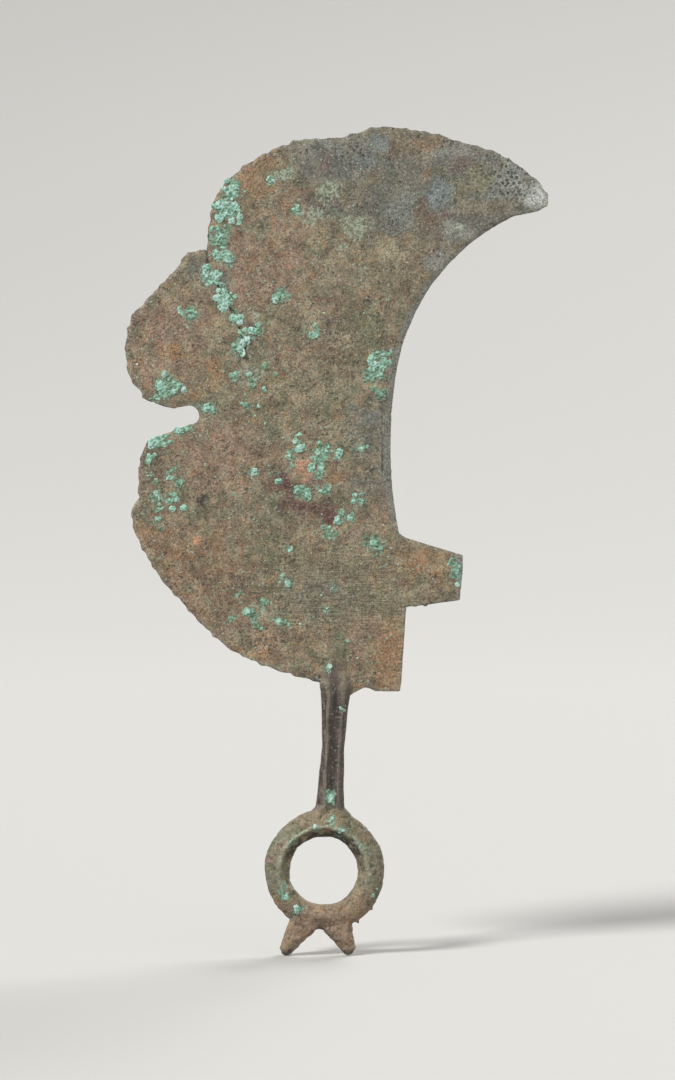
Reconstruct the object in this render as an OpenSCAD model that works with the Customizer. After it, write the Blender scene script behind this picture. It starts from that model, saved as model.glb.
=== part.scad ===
// Half-moon bronze razor with a suspension ring, worn and broken in use.
// The blade stands in the XZ plane and its front looks along -Y.
// The origin is the centre of the ring's bore, whose axis is Y. All sizes are in millimetres.

/* [Blade] */
// Radius of the convex cutting edge before wear
edge_r = 52.8; // [50:0.1:56]
// Breadth from the unworn cutting edge to the hollow of the back
waist_w = 51; // [47:0.5:54]
// Thickness along the back
back_t = 2.2; // [1.6:0.1:3]
// Thickness at the cutting edge
edge_t = 0.4; // [0.3:0.05:0.8]
// Height of the waist above the centre of the edge's circle
waist_up = 8; // [4:0.5:12]
// Breadth of the full-thickness band behind the blade's hollow
band_w = 14; // [10:0.5:18]
// Depth of the hollow of the back above the blade's waist
hollow_rise = 4.2; // [3:0.1:5.5]
// Depth of the hollow of the back below the waist
lower_rise = 1.2; // [0.6:0.1:2]
// Width of the land left between the two bevels of the back
back_land = 0.5; // [0.3:0.05:0.9]
// Slope of the bevels along the back, rise over run
bevel_slope = 0.6; // [0.4:0.05:1]
// Depth of the small ripple in the worn edge
ragged = 0.25; // [0:0.05:0.4]
// Length of the blunt end of the tip
tip_w = 2.3; // [1:0.1:3]

/* [Slit] */
// Depth of the slit from the unworn edge
slit_depth = 16.5; // [14:0.5:19]
// Radius of the slit's round end
slit_end_r = 1.6; // [1.2:0.1:2]

/* [Spur and heel] */
// Length of the spur beyond the heel
spur_len = 10.8; // [8:0.2:14]
// Height of the spur at its free end
spur_end_h = 8.1; // [6:0.1:9]
// Height of the spur at its root
spur_root_h = 11.7; // [10:0.1:13]
// Height of the heel below the spur
heel_h = 15.5; // [12:0.5:18]
// How far the heel stands out from the hollow of the back
heel_out = 2.2; // [1:0.1:3.5]

/* [Stem] */
// Length of the stem from the ring to the blade
stem_len = 23; // [18:0.2:28]
// Width of the stem at its waist
stem_w = 3.9; // [3.2:0.1:4.6]
// Width of the stem at the blade
stem_head_w = 5.3; // [4.2:0.1:6]
// Depth of the stem from front to back
stem_d = 3.4; // [3:0.1:4]
// Reach of the stem's flared foot along the ring, on each side
foot_flare = 2; // [1:0.1:3]
// Lean of the stem to the right
stem_lean = 2.9; // [0:0.1:5]
// Depth of the shallow channel along the stem
channel_d = 0.35; // [0.1:0.05:0.6]
// Length of the tongue on the front of the blade
front_tongue = 7.5; // [5:0.5:10]
// Length of the tongue on the back of the blade
rear_tongue = 5; // [3:0.5:7]

/* [Suspension ring] */
// Radius of the ring's bore
bore_r = 6.2; // [5:0.1:7]
// Length of the straight land in the bore
bore_land = 1.4; // [1:0.1:2]
// Radial thickness of the ring at its thinnest
ring_wall = 4.3; // [3.6:0.1:5.2]
// Depth of the ring from front to back
ring_d = 4.4; // [3.8:0.1:5.4]

/* [Prongs] */
// Length of the left prong beyond the ring
left_len = 6.2; // [4:0.1:8]
// Length of the right prong beyond the ring
right_len = 5.2; // [4:0.1:8]
// Radius of a prong at the ring
prong_root_r = 2.6; // [2:0.05:3]
// Radius of a prong's blunt tip
prong_tip_r = 1.2; // [0.7:0.05:1.5]
// Depth of the prongs from front to back
prong_d = 3.4; // [2.6:0.1:4]

/* [Crust] */
// Scale of the crust lumps
lump_scale = 1; // [0.8:0.05:1.2]
// Share of a lump's radius that is sunk in the metal
lump_sink = 0.4; // [0.2:0.05:0.6]

/* [Hidden] */
$fn = 96;

bronze = [0.48, 0.38, 0.28];
pale_bronze = [0.52, 0.42, 0.32];
dark_bronze = [0.30, 0.25, 0.22];
verdigris = [0.46, 0.74, 0.62];

// Reach of cuts and blanks past what they trim
over = 1;

// The ring's outside is a circle set off from the bore, so the ring is thickest at its upper right
ring_off = [0.18, 0.15];
ring_r = bore_r + ring_wall + norm(ring_off);
stem_foot = ring_off + [0.92, ring_r];

// The stem runs up to the blade's lower edge
stem_rise = [tan(stem_lean), 1];
stem_head = stem_foot + stem_len * stem_rise;

// Metal lost from the edge, as [degrees left of straight up, depth of the loss]
wear = [
    [-34, 5.4], [-31, 4.4], [-26, 3.6], [-20, 2.9], [-12, 3.0], [-8, 2.3], [0, 1.6], [5, 1.1],
    [8, 1.8], [12, 2.0], [15, 1.6], [20, 0.4], [33, 0.1], [38, 0.8], [42, 2.0], [46, 4.5],
    [50, 7.2], [53, 4.7], [58, 4.6], [66, 2.9], [70, 1.4], [76, 1.5], [82, 3.1], [86, 5.9],
    [96, 7.0], [101, 4.8], [108, 3.2], [110, 1.2], [113, 0.3], [126, 0.2], [131, 0.6],
    [145, 0.2], [156, 1.5], [164, 2.2]
];
edge_from = wear[0].x;
edge_to = 164;
edge_step = 1;
notch_angle = 50;
slit_angle = 90.8;

function toward(a) = [-sin(a), cos(a)];
function loss(a) = lookup(a, wear) + ragged / 2 * (sin(97 * a) + sin(161 * a + 40));

// The edge's circle is placed so that the worn edge meets the stem's left side
stem_side = [-2.3, 0.1];
edge_c = stem_head + stem_side - (edge_r - loss(edge_to)) * toward(edge_to);
function edge_pt(a) = edge_c + (edge_r - loss(a)) * toward(a);

// Lowest and highest corners of the hollow back, and its waist
back_x = edge_c.x - edge_r + waist_w;
heel_x = back_x + heel_out;
heel_z = stem_head.y - 1.6;
spur_z = heel_z + heel_h;
back_foot = [back_x + lower_rise, spur_z + spur_root_h + 2.9];
waist = [back_x + lower_rise, edge_c.y + waist_up];
tip_end = edge_pt(edge_from);
tip_under = tip_end - [0.1, tip_w];
hollow_end = tip_under - [6.1, 1.9];
heel_root = [stem_head.x + stem_head_w / 2 + 0.55, heel_z - 0.3];
heel_foot = [heel_x - 0.4, heel_z];

// The hump in the heel's lower side, as [share of the way from root to foot, rise]
heel_hump = [[0.24, 1.0], [0.46, 0.2]];

// An arc through two points, clockwise, that rises above its chord to the left of the way from p to q
function arc_r(p, q, rise) = (norm(q - p) ^ 2 / 4 + rise ^ 2) / (2 * rise);
function arc_c(p, q, rise) =
    let (along = (q - p) / norm(q - p))
    (p + q) / 2 + (arc_r(p, q, rise) - rise) * [along.y, -along.x];
function arc(p, q, rise, steps) =
    let (
        c = arc_c(p, q, rise),
        from = atan2(p.y - c.y, p.x - c.x),
        to = atan2(q.y - c.y, q.x - c.x),
        sweep = (from - to + 360) % 360
    )
    [for (i = [0:steps]) let (a = from - sweep * i / steps) c + arc_r(p, q, rise) * [cos(a), sin(a)]];

// Spur and heel, from the stem round to the foot of the hollow
heel_line = [
    stem_head + [-2.2, -0.6],
    stem_head + [stem_head_w / 2 - 0.25, -2.6],
    heel_root,
    for (h = heel_hump) heel_root + h[0] * (heel_foot - heel_root) + [0, h[1]],
    heel_foot,
    [heel_x, heel_z + 5.4],
    [heel_x + 0.2, heel_z + 9],
    [heel_x + 0.6, spur_z - 0.3],
    [heel_x + 3.8, spur_z],
    [heel_x + spur_len - 0.5, spur_z + 0.9],
    [heel_x + spur_len - 0.1, spur_z + 0.9 + spur_end_h * 0.6],
    [heel_x + spur_len, spur_z + 0.9 + spur_end_h],
    [heel_x + 0.6, spur_z + spur_root_h + 0.4],
    [heel_x - 0.7, spur_z + spur_root_h + 1.3]
];

outline = concat(
    [hollow_end, tip_under - [1.8, 1]],
    [tip_under],
    [for (a = [edge_from:edge_step:edge_to]) edge_pt(a)],
    heel_line,
    arc(back_foot, waist, lower_rise, 12),
    arc(waist, hollow_end, hollow_rise, 20)
);

// The slit, as [share of its depth out from its round end, upper lip, lower lip],
// with the lips in radii of the round end
slit_lips = [[0, 1, -1], [0.18, 0.7, -1.7], [0.48, 1.7, -2.9], [1, 3.8, -5.2]];
slit_end = edge_c + (edge_r - slit_depth + slit_end_r) * toward(slit_angle);

// The crack from the notch to the slit, as shares of the way: [down, inward]
crack_bends = [
    [0.16, 0.03], [0.22, 0.09], [0.3, 0.14], [0.41, 0.215],
    [0.56, 0.285], [0.64, 0.275], [0.79, 0.245], [0.93, 0.115]
];
notch = edge_c + (edge_r - lookup(notch_angle, wear)) * toward(notch_angle);
crack_way = slit_end - notch;
crack = concat(
    [notch],
    [for (b = crack_bends) notch + b[0] * crack_way + b[1] * [norm(crack_way), 0]],
    [slit_end]
);
beyond = edge_r + 12;

// Two shallow double cones give the blade its section: thick along the back, thin at the edge
upper_reach = edge_r + over;
heel_c = [edge_c.x, spur_z + 4];
heel_flat = 8;
heel_reach = 36;
crowns = [[edge_c, band_w, upper_reach], [heel_c, heel_flat, heel_reach]];

function cone_t(d, flat, reach) =
    d < flat ? back_t : back_t - (back_t - edge_t) * (d - flat) / (reach - flat);
function thickness(p) = max([for (c = crowns) cone_t(norm(p - c[0]), c[1], c[2])]);

module crown(c) {
    translate([c[0].x, 0, c[0].y])
        rotate([90, 0, 0])
            rotate_extrude()
                polygon([
                    [0, -back_t / 2], [c[1], -back_t / 2], [c[2], -edge_t / 2],
                    [c[2], edge_t / 2], [c[1], back_t / 2], [0, back_t / 2]
                ]);
}

module crowned_body() {
    for (c = crowns) crown(c);
}

module upright(depth) {
    rotate([90, 0, 0])
        linear_extrude(depth, center = true)
            children();
}

module slit() {
    upper = [for (s = slit_lips) [-s[0] * slit_depth, s[1] * slit_end_r]];
    lower = [for (s = slit_lips) [-s[0] * slit_depth, s[2] * slit_end_r]];
    translate([slit_end.x, 0, slit_end.y])
        upright(back_t + over) {
            circle(slit_end_r);
            polygon(concat(upper, [for (i = [len(lower) - 1:-1:0]) lower[i]]));
        }
}

// The bevels on both faces along one arc of the back
module back_bevel(p, q, rise) {
    r = arc_r(p, q, rise);
    c = arc_c(p, q, rise);
    run = back_t / bevel_slope;
    low = min(p.y, q.y);
    intersection() {
        translate([c.x, 0, c.y])
            rotate([90, 0, 0])
                rotate_extrude()
                    for (side = [-1, 1])
                        polygon([
                            [r - over, side * (back_land / 2 - over * bevel_slope)],
                            [r + run, side * (back_land / 2 + run * bevel_slope)],
                            [r - over, side * (back_land / 2 + run * bevel_slope)]
                        ]);
        translate([back_x - run, -back_t, low])
            cube([2 * edge_r, 2 * back_t, abs(q.y - p.y)]);
    }
}

module plate() {
    difference() {
        intersection() {
            upright(back_t) polygon(outline);
            crowned_body();
        }
        slit();
        back_bevel(back_foot, waist, lower_rise);
        back_bevel(waist, hollow_end, hollow_rise);
    }
}

module fragment_zone() {
    upright(back_t + over)
        polygon(concat(
            crack,
            [[edge_c.x - beyond, slit_end.y], edge_c + beyond * toward(notch_angle)]
        ));
}

module blade() {
    color(bronze)
        difference() {
            plate();
            fragment_zone();
        }
}

module edge_fragment() {
    color(bronze)
        intersection() {
            plate();
            fragment_zone();
        }
}

// One eight-sided slice of the stem, lying level
module stem_slice(at, w, front, rear) {
    translate([at.x, 0, at.y])
        linear_extrude(0.05)
            polygon([
                [-w / 2, rear / 2], [-w / 2, -front / 2], [-w / 3.4, -front], [w / 3.4, -front],
                [w / 2, -front / 2], [w / 2, rear / 2], [w / 3.4, rear], [-w / 3.4, rear]
            ]);
}

module tongue(length, side) {
    top = stem_head + length * stem_rise;
    lap = thickness(top) / 2 + 0.25;
    half = stem_d / 2;
    hull() {
        stem_slice(stem_head - stem_rise, stem_head_w, side < 0 ? half : 0.1, side < 0 ? 0.1 : half);
        stem_slice(top, stem_w / 2, side < 0 ? lap : 0.1, side < 0 ? 0.1 : lap);
    }
}

module stem_channel(side) {
    channel_r = stem_w / 2;
    depth = side * (stem_d / 2 + channel_r - channel_d);
    translate([stem_foot.x, depth, stem_foot.y])
        rotate([0, stem_lean, 0])
            cylinder(h = stem_len + front_tongue / 2, r = channel_r);
}

module stem() {
    waist_at = stem_foot + 0.5 * stem_len * stem_rise;
    foot_w = stem_w * 1.3;
    half = stem_d / 2;
    color(dark_bronze)
        difference() {
            union() {
                hull() {
                    stem_slice(stem_foot - [0, over], stem_w + 2 * foot_flare, half, half);
                    stem_slice(stem_foot + [0, foot_flare / 4], foot_w, half, half);
                }
                hull() {
                    stem_slice(stem_foot, foot_w, half, half);
                    stem_slice(waist_at, stem_w, half, half);
                }
                hull() {
                    stem_slice(waist_at, stem_w, half, half);
                    stem_slice(stem_head - [0, 0.05], stem_head_w, half, half);
                }
                tongue(front_tongue, -1);
                tongue(rear_tongue, 1);
            }
            stem_channel(-1);
            stem_channel(1);
            ring_blank();
            plate();
        }
}

// The ring without its bore: facets fall from a crest to a narrow outer land
module ring_blank() {
    crest_r = bore_r + ring_wall / 2;
    translate([ring_off.x, 0, ring_off.y])
        rotate([90, 0, 0])
            rotate_extrude()
                polygon([
                    [0, -ring_d / 2], [crest_r + 0.2, -ring_d / 2], [crest_r + 1.4, -ring_d * 0.4],
                    [ring_r, -ring_d * 0.17], [ring_r, ring_d * 0.17],
                    [crest_r + 1.4, ring_d * 0.4], [crest_r + 0.2, ring_d / 2], [0, ring_d / 2]
                ]);
}

// The bore opens from a straight land to both faces
module ring_bore() {
    mouth_r = bore_r + ring_wall * 0.4;
    rotate([90, 0, 0])
        rotate_extrude()
            polygon([
                [0, -ring_d], [mouth_r + ring_d / 2, -ring_d], [mouth_r, -ring_d / 2],
                [bore_r + 0.5, -ring_d * 0.32], [bore_r, -bore_land / 2], [bore_r, bore_land / 2],
                [bore_r + 0.5, ring_d * 0.32], [mouth_r, ring_d / 2],
                [mouth_r + ring_d / 2, ring_d], [0, ring_d]
            ]);
}

module suspension_ring() {
    color(pale_bronze)
        difference() {
            ring_blank();
            ring_bore();
        }
}

// A flattened peg with a round tip; place is its root on the ring and lean its direction,
// both in degrees from straight down, positive to the right
module prong(place, lean, length) {
    root = [ring_off.x + ring_r * sin(place), ring_off.y - ring_r * cos(place)];
    sunk = 1.5;
    taper = (prong_root_r - prong_tip_r) / length;
    shank = length - prong_tip_r;
    color(pale_bronze)
        difference() {
            intersection() {
                translate([root.x, 0, root.y])
                    rotate([0, 180 - lean, 0])
                        translate([0, 0, -sunk]) {
                            cylinder(h = shank + sunk, r1 = prong_root_r + sunk * taper, r2 = prong_tip_r);
                            translate([0, 0, shank + sunk])
                                sphere(prong_tip_r);
                        }
                translate([root.x, 0, root.y])
                    cube([4 * length, prong_d, 4 * length], center = true);
            }
            ring_blank();
        }
}

module left_prong() {
    prong(-22, -34, left_len);
}

module right_prong() {
    prong(14, 25, right_len);
}

// Low caps of crust on the front of the blade, each [x, z, radius]
module lumps(list) {
    color(verdigris)
        difference() {
            intersection() {
                for (l = list) {
                    r = l[2] * lump_scale;
                    translate([l[0], r * lump_sink - thickness([l[0], l[1]]) / 2, l[1]])
                        sphere(r);
                }
                translate([edge_c.x - beyond, -2 * back_t, stem_head.y - over])
                    cube([2 * beyond, 2 * back_t, 2 * beyond]);
            }
            crowned_body();
        }
}

// A place from the centre of the edge's circle, as [shares of its radius to the right and up, radius]
function from_centre(l) = [edge_c.x + edge_r * l[0], edge_c.y + edge_r * l[1], l[2]];

// A place at a distance in from the worn edge, as [degrees, inset, radius]
function from_edge(l) =
    let (p = edge_c + (edge_r - lookup(l[0], wear) - l[1]) * toward(l[0]))
    [p.x, p.y, l[2]];

module notch_crust() {
    lumps([for (l = [
        [30.5, 2.2, 1.0], [32.5, 3.4, 1.1], [34.5, 2.0, 1.2], [36.5, 3.2, 1.2], [38.5, 2.2, 1.3],
        [40.5, 3.2, 1.1], [43, 2.6, 1.1], [45.5, 2.6, 1.0], [38, 5.2, 0.9], [45, 5.6, 0.9]
    ]) from_edge(l)]);
}

// Lumps strung along the crack, as [leg of the crack, share of that leg, distance off it, radius]
module crack_crust() {
    lumps([for (l = [
        [0, 0.6, 0.2, 1.0], [0, 0.95, -0.2, 1.2], [1, 0.6, 0.2, 1.1], [2, 0.1, 0, 0.9],
        [2, 0.7, 0.2, 1.3], [3, 0.2, -0.2, 1.1], [3, 0.75, 0.1, 1.1], [4, 0.3, 0, 0.9],
        [4, 0.65, 0.2, 1.3], [4, 0.95, 0.1, 1.4], [5, 0.6, 0, 1.3], [5, 0.98, -0.2, 0.9]
    ])
        let (p = crack[l[0]] + l[1] * (crack[l[0] + 1] - crack[l[0]]) + [l[2], 0])
        [p.x, p.y, l[3]]]);
}

// Lumps beside the waist of the hollow back
module back_crust() {
    lumps([for (l = [
        [-3.8, 1.6, 1.2], [-2.2, 2.6, 1.1], [-5.0, -0.1, 1.1], [-3.4, -0.8, 1.3], [-2.3, 0.8, 1.2],
        [-4.3, -2.2, 1.0], [-2.8, -4.0, 0.9]
    ]) [waist.x + l[0], waist.y + l[1], l[2]]]);
}

module slit_crust() {
    lumps([for (l = [
        [83.5, 4.6, 1.1], [81.5, 6.6, 1.1], [80, 3.6, 1.0], [83, 8.4, 1.0],
        [98.5, 1.6, 1.0], [97, 4.2, 0.9], [95.5, 8.3, 0.9]
    ]) from_edge(l)]);
}

module rim_crust() {
    lumps([for (l = [
        [106, 2.2, 1.0], [108.5, 4.2, 0.9], [111, 3.0, 1.1], [111.5, 6.2, 1.0],
        [113.5, 4.6, 0.9], [103.5, 6.0, 0.9], [116, 4.0, 0.8]
    ]) from_edge(l)]);
}

module belly_crust() {
    lumps([for (l = [
        [-0.36, -0.105, 1.0], [-0.35, -0.15, 1.2], [-0.27, -0.135, 1.3], [-0.29, -0.175, 1.1],
        [-0.24, -0.16, 1.0], [-0.14, -0.115, 1.0], [-0.335, -0.27, 1.1], [-0.26, -0.26, 1.0],
        [-0.2, -0.35, 1.1], [-0.135, -0.3, 1.1], [-0.1, -0.465, 1.2], [-0.165, -0.36, 0.8],
        [-0.43, -0.245, 0.9]
    ]) from_centre(l)]);
}

module heel_crust() {
    lumps([for (l = [
        [-0.39, -0.575, 1.1], [-0.52, -0.69, 1.1], [-0.47, -0.65, 1.0], [-0.49, -0.725, 0.9],
        [-0.42, -0.73, 0.9], [-0.565, -0.7, 0.8], [-0.25, -0.68, 0.8]
    ]) from_centre(l)]);
}

module spur_crust() {
    end = [heel_x + spur_len, spur_z + spur_end_h / 2];
    lumps([
        [end.x - 1.4, end.y + 1.2, 1.3],
        [end.x - 1.6, end.y - 0.6, 1.1],
        [end.x - 1.3, end.y + 3.0, 1.0]
    ]);
}

// Lumps on the front of the ring and the foot of the stem, as [degrees from straight down, radius]
module ring_crust() {
    crest_r = bore_r + ring_wall / 2;
    color(verdigris)
        difference() {
            for (l = [[-58, 1.0], [-38, 1.1], [-30, 0.8], [-100, 0.8], [176, 1.0]])
                translate([crest_r * sin(l[0]), lump_sink - ring_d / 2, -crest_r * cos(l[0])])
                    sphere(l[1] * lump_scale);
            ring_blank();
        }
}

blade();
edge_fragment();
stem();
suspension_ring();
left_prong();
right_prong();
notch_crust();
crack_crust();
back_crust();
slit_crust();
rim_crust();
belly_crust();
heel_crust();
spur_crust();
ring_crust();
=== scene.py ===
"""The bronze razor: worn sheet, cast handle and green crust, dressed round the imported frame."""

import logging
import math
import random
from dataclasses import dataclass
from enum import Enum
from typing import Any, Callable, Optional, Sequence

import bpy
import numpy as np
from mathutils import Matrix, Vector, kdtree, noise
from mathutils.bvhtree import BVHTree


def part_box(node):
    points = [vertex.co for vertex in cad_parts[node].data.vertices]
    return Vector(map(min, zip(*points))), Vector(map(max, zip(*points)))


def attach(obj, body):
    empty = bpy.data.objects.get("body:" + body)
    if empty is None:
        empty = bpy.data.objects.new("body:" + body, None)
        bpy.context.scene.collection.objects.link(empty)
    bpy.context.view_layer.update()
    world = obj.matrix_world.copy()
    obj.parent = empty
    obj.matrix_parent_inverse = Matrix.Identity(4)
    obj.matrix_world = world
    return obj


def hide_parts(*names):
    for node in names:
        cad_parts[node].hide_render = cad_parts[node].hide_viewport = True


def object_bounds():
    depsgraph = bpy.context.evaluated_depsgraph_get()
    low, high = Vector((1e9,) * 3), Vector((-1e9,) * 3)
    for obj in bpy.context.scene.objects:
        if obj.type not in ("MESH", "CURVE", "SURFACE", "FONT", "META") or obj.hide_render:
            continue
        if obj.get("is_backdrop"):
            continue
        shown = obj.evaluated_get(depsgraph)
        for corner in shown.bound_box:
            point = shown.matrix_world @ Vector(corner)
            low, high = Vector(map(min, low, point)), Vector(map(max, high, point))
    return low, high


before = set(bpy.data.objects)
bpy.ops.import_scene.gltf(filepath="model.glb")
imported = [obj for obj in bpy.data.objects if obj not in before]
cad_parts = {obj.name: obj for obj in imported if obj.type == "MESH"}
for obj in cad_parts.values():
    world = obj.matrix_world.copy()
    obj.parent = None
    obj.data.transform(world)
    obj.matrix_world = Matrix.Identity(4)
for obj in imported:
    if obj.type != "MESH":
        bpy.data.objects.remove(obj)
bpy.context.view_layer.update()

LOG = logging.getLogger("razor")
BODY = "root"
MM = 0.001
MERGE_WITHIN = 0.001 * MM
CUT_WITHIN = 0.0001 * MM

Thing = bpy.types.Object
Mesh = bpy.types.Mesh
Socket = bpy.types.NodeSocket
Array = np.ndarray
Shade = tuple[int, int, int]
Span = tuple[float, float]
Triple = tuple[float, float, float]
Colour = tuple[float, float, float, float]


@dataclass(frozen=True)
class PhotoScale:
    """How a pixel of the photograph reads in the part's frame."""

    bore_px: float = 323.75
    bore_py: float = 870.5
    pixel: float = 0.18 * MM

    def x(self, px: float) -> float:
        """Return the place in metres along X of a pixel column."""
        return (px - self.bore_px) * self.pixel

    def z(self, py: float) -> float:
        """Return the place in metres along Z of a pixel row."""
        return (self.bore_py - py) * self.pixel


PHOTO = PhotoScale()


def linear(shade: Shade) -> Array:
    """Turn a display colour into a linear one.

    Args:
        shade: red, green and blue from 0 to 255.

    Returns:
        The three linear values from 0 to 1.
    """
    part = np.array(shade, float) / 255
    return np.where(part <= 0.04045, part / 12.92, ((part + 0.055) / 1.055) ** 2.4)


def socket_colour(shade: Shade) -> Colour:
    """Return a display colour as an opaque linear one for a socket."""
    return (*linear(shade).tolist(), 1.0)


class Palette(Enum):
    """Named display colours, from 0 to 255, that can be read as linear ones."""

    @property
    def light(self) -> Array:
        """Return the colour as three linear values."""
        return linear(self.value)

    @property
    def rgba(self) -> Colour:
        """Return the colour as a linear one for a socket."""
        return socket_colour(self.value)


class Tone(Palette):
    """Colours of the patina."""

    GROUND = (130, 121, 99)
    PINK_BROWN = (149, 125, 106)
    ORANGE = (157, 123, 91)
    BROWN = (112, 96, 79)
    OLIVE = (124, 116, 91)
    TAN = (130, 120, 102)
    GREY = (108, 109, 102)
    BLUE_GREY = (128, 136, 133)
    PALE_GREY = (142, 144, 136)
    WHITE = (190, 192, 184)
    LIGHT_BUFF = (163, 151, 125)
    DEEP_RED = (98, 66, 62)
    YELLOW_OLIVE = (131, 125, 95)
    COPPER = (206, 158, 128)
    RED = (120, 99, 91)
    BUFF = (144, 131, 105)
    MOSS = (110, 113, 88)
    STEM = (69, 61, 55)
    CHANNEL = (58, 50, 44)
    # pale metal on the stem's ridge, with a painted highlight
    PALE_RIDGE_AND_HIGHLIGHT = (123, 119, 109)
    PURPLE = (92, 77, 76)
    BLOOM = (176, 186, 166)


class Crust(Palette):
    """Colours of the crust's grains."""

    PALE = (197, 240, 219)
    MINT = (168, 219, 196)
    TEAL = (147, 184, 164)
    GREEN = (122, 154, 128)
    MOSS = (92, 108, 84)


class Side(Enum):
    """The two faces of the razor, with the way along Y that one looks at each."""

    FRONT = 1
    REAR = -1


class Push(Enum):
    """The ways that a relief moves a skin."""

    OUT = "NORMAL"
    ALONG_Y = "Y"


class Blend(Enum):
    """The ways that one colour lies on another."""

    COVER = "MIX"
    TINT = "MULTIPLY"
    OVERLAY = "OVERLAY"


class Bench:
    """The hand moves that every piece shares."""

    @staticmethod
    def take(thing: Thing) -> None:
        """Select one object alone and make it active.

        Args:
            thing: the object.
        """
        bpy.ops.object.select_all(action="DESELECT")
        thing.select_set(True)
        bpy.context.view_layer.objects.active = thing

    @staticmethod
    def open_all(thing: Thing) -> None:
        """Go into edit mode with all of one object's mesh selected.

        Args:
            thing: the object.
        """
        Bench.take(thing)
        bpy.ops.object.mode_set(mode="EDIT")
        bpy.ops.mesh.select_all(action="SELECT")

    @staticmethod
    def shape(thing: Thing, kind: str, **settings: Any) -> None:
        """Add one modifier and apply it.

        Args:
            thing: the object to shape.
            kind: the modifier's type.
            settings: the modifier's own settings.
        """
        Bench.take(thing)
        step = thing.modifiers.new(kind.lower(), kind)
        for name, value in settings.items():
            setattr(step, name, value)
        bpy.ops.object.modifier_apply(modifier=step.name)

    @staticmethod
    def copy_node(node: str, name: str) -> Thing:
        """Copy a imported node's mesh to a new object and merge its loose triangles.

        Args:
            node: the node's name in the frame.
            name: the new object's name.

        Returns:
            The new object, selected and active.
        """
        thing = bpy.data.objects.new(name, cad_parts[node].data.copy())
        bpy.context.scene.collection.objects.link(thing)
        thing.data.materials.clear()
        Bench.take(thing)
        bpy.ops.mesh.customdata_custom_splitnormals_clear()
        Bench.open_all(thing)
        bpy.ops.mesh.remove_doubles(threshold=MERGE_WITHIN)
        bpy.ops.object.mode_set(mode="OBJECT")
        return thing

    @staticmethod
    def duplicate(thing: Thing, name: str) -> Thing:
        """Copy an object, with a mesh of its own.

        Args:
            thing: the object to copy.
            name: the copy's name.

        Returns:
            The copy.
        """
        copy = bpy.data.objects.new(name, thing.data.copy())
        bpy.context.scene.collection.objects.link(copy)
        return copy

    @staticmethod
    def join(things: Sequence[Thing], name: str) -> Thing:
        """Join several objects into the first one.

        Args:
            things: the objects to join.
            name: the joined object's name.

        Returns:
            The joined object.
        """
        Bench.take(things[0])
        for thing in things:
            thing.select_set(True)
        bpy.ops.object.join()
        joined = bpy.context.view_layer.objects.active
        joined.name = name
        joined.data.name = name
        return joined

    @staticmethod
    def pick(thing: Thing, wanted: Callable[[bpy.types.MeshPolygon], bool]) -> None:
        """Go into edit mode with only the faces selected that pass a test.

        Args:
            thing: the object whose faces are picked.
            wanted: the test, which gets each face.
        """
        Bench.take(thing)
        bpy.ops.object.mode_set(mode="EDIT")
        bpy.ops.mesh.select_mode(type="FACE")
        bpy.ops.mesh.select_all(action="DESELECT")
        bpy.ops.object.mode_set(mode="OBJECT")
        for face in thing.data.polygons:
            face.select = wanted(face)
        bpy.ops.object.mode_set(mode="EDIT")

    @staticmethod
    def cut(thing: Thing, place: Vector, normal: Vector) -> None:
        """Cut an object with a plane, and keep and close what lies ahead of it.

        Args:
            thing: the object to cut.
            place: a point on the plane.
            normal: the plane's normal, which points at what is kept.
        """
        Bench.open_all(thing)
        bpy.ops.mesh.bisect(
            plane_co=place,
            plane_no=normal,
            use_fill=True,
            clear_inner=True,
            threshold=CUT_WITHIN,
        )
        bpy.ops.object.mode_set(mode="OBJECT")

    @staticmethod
    def smooth_shade(thing: Thing) -> None:
        """Shade an object's faces smooth."""
        Bench.take(thing)
        bpy.ops.object.shade_smooth()


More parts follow.
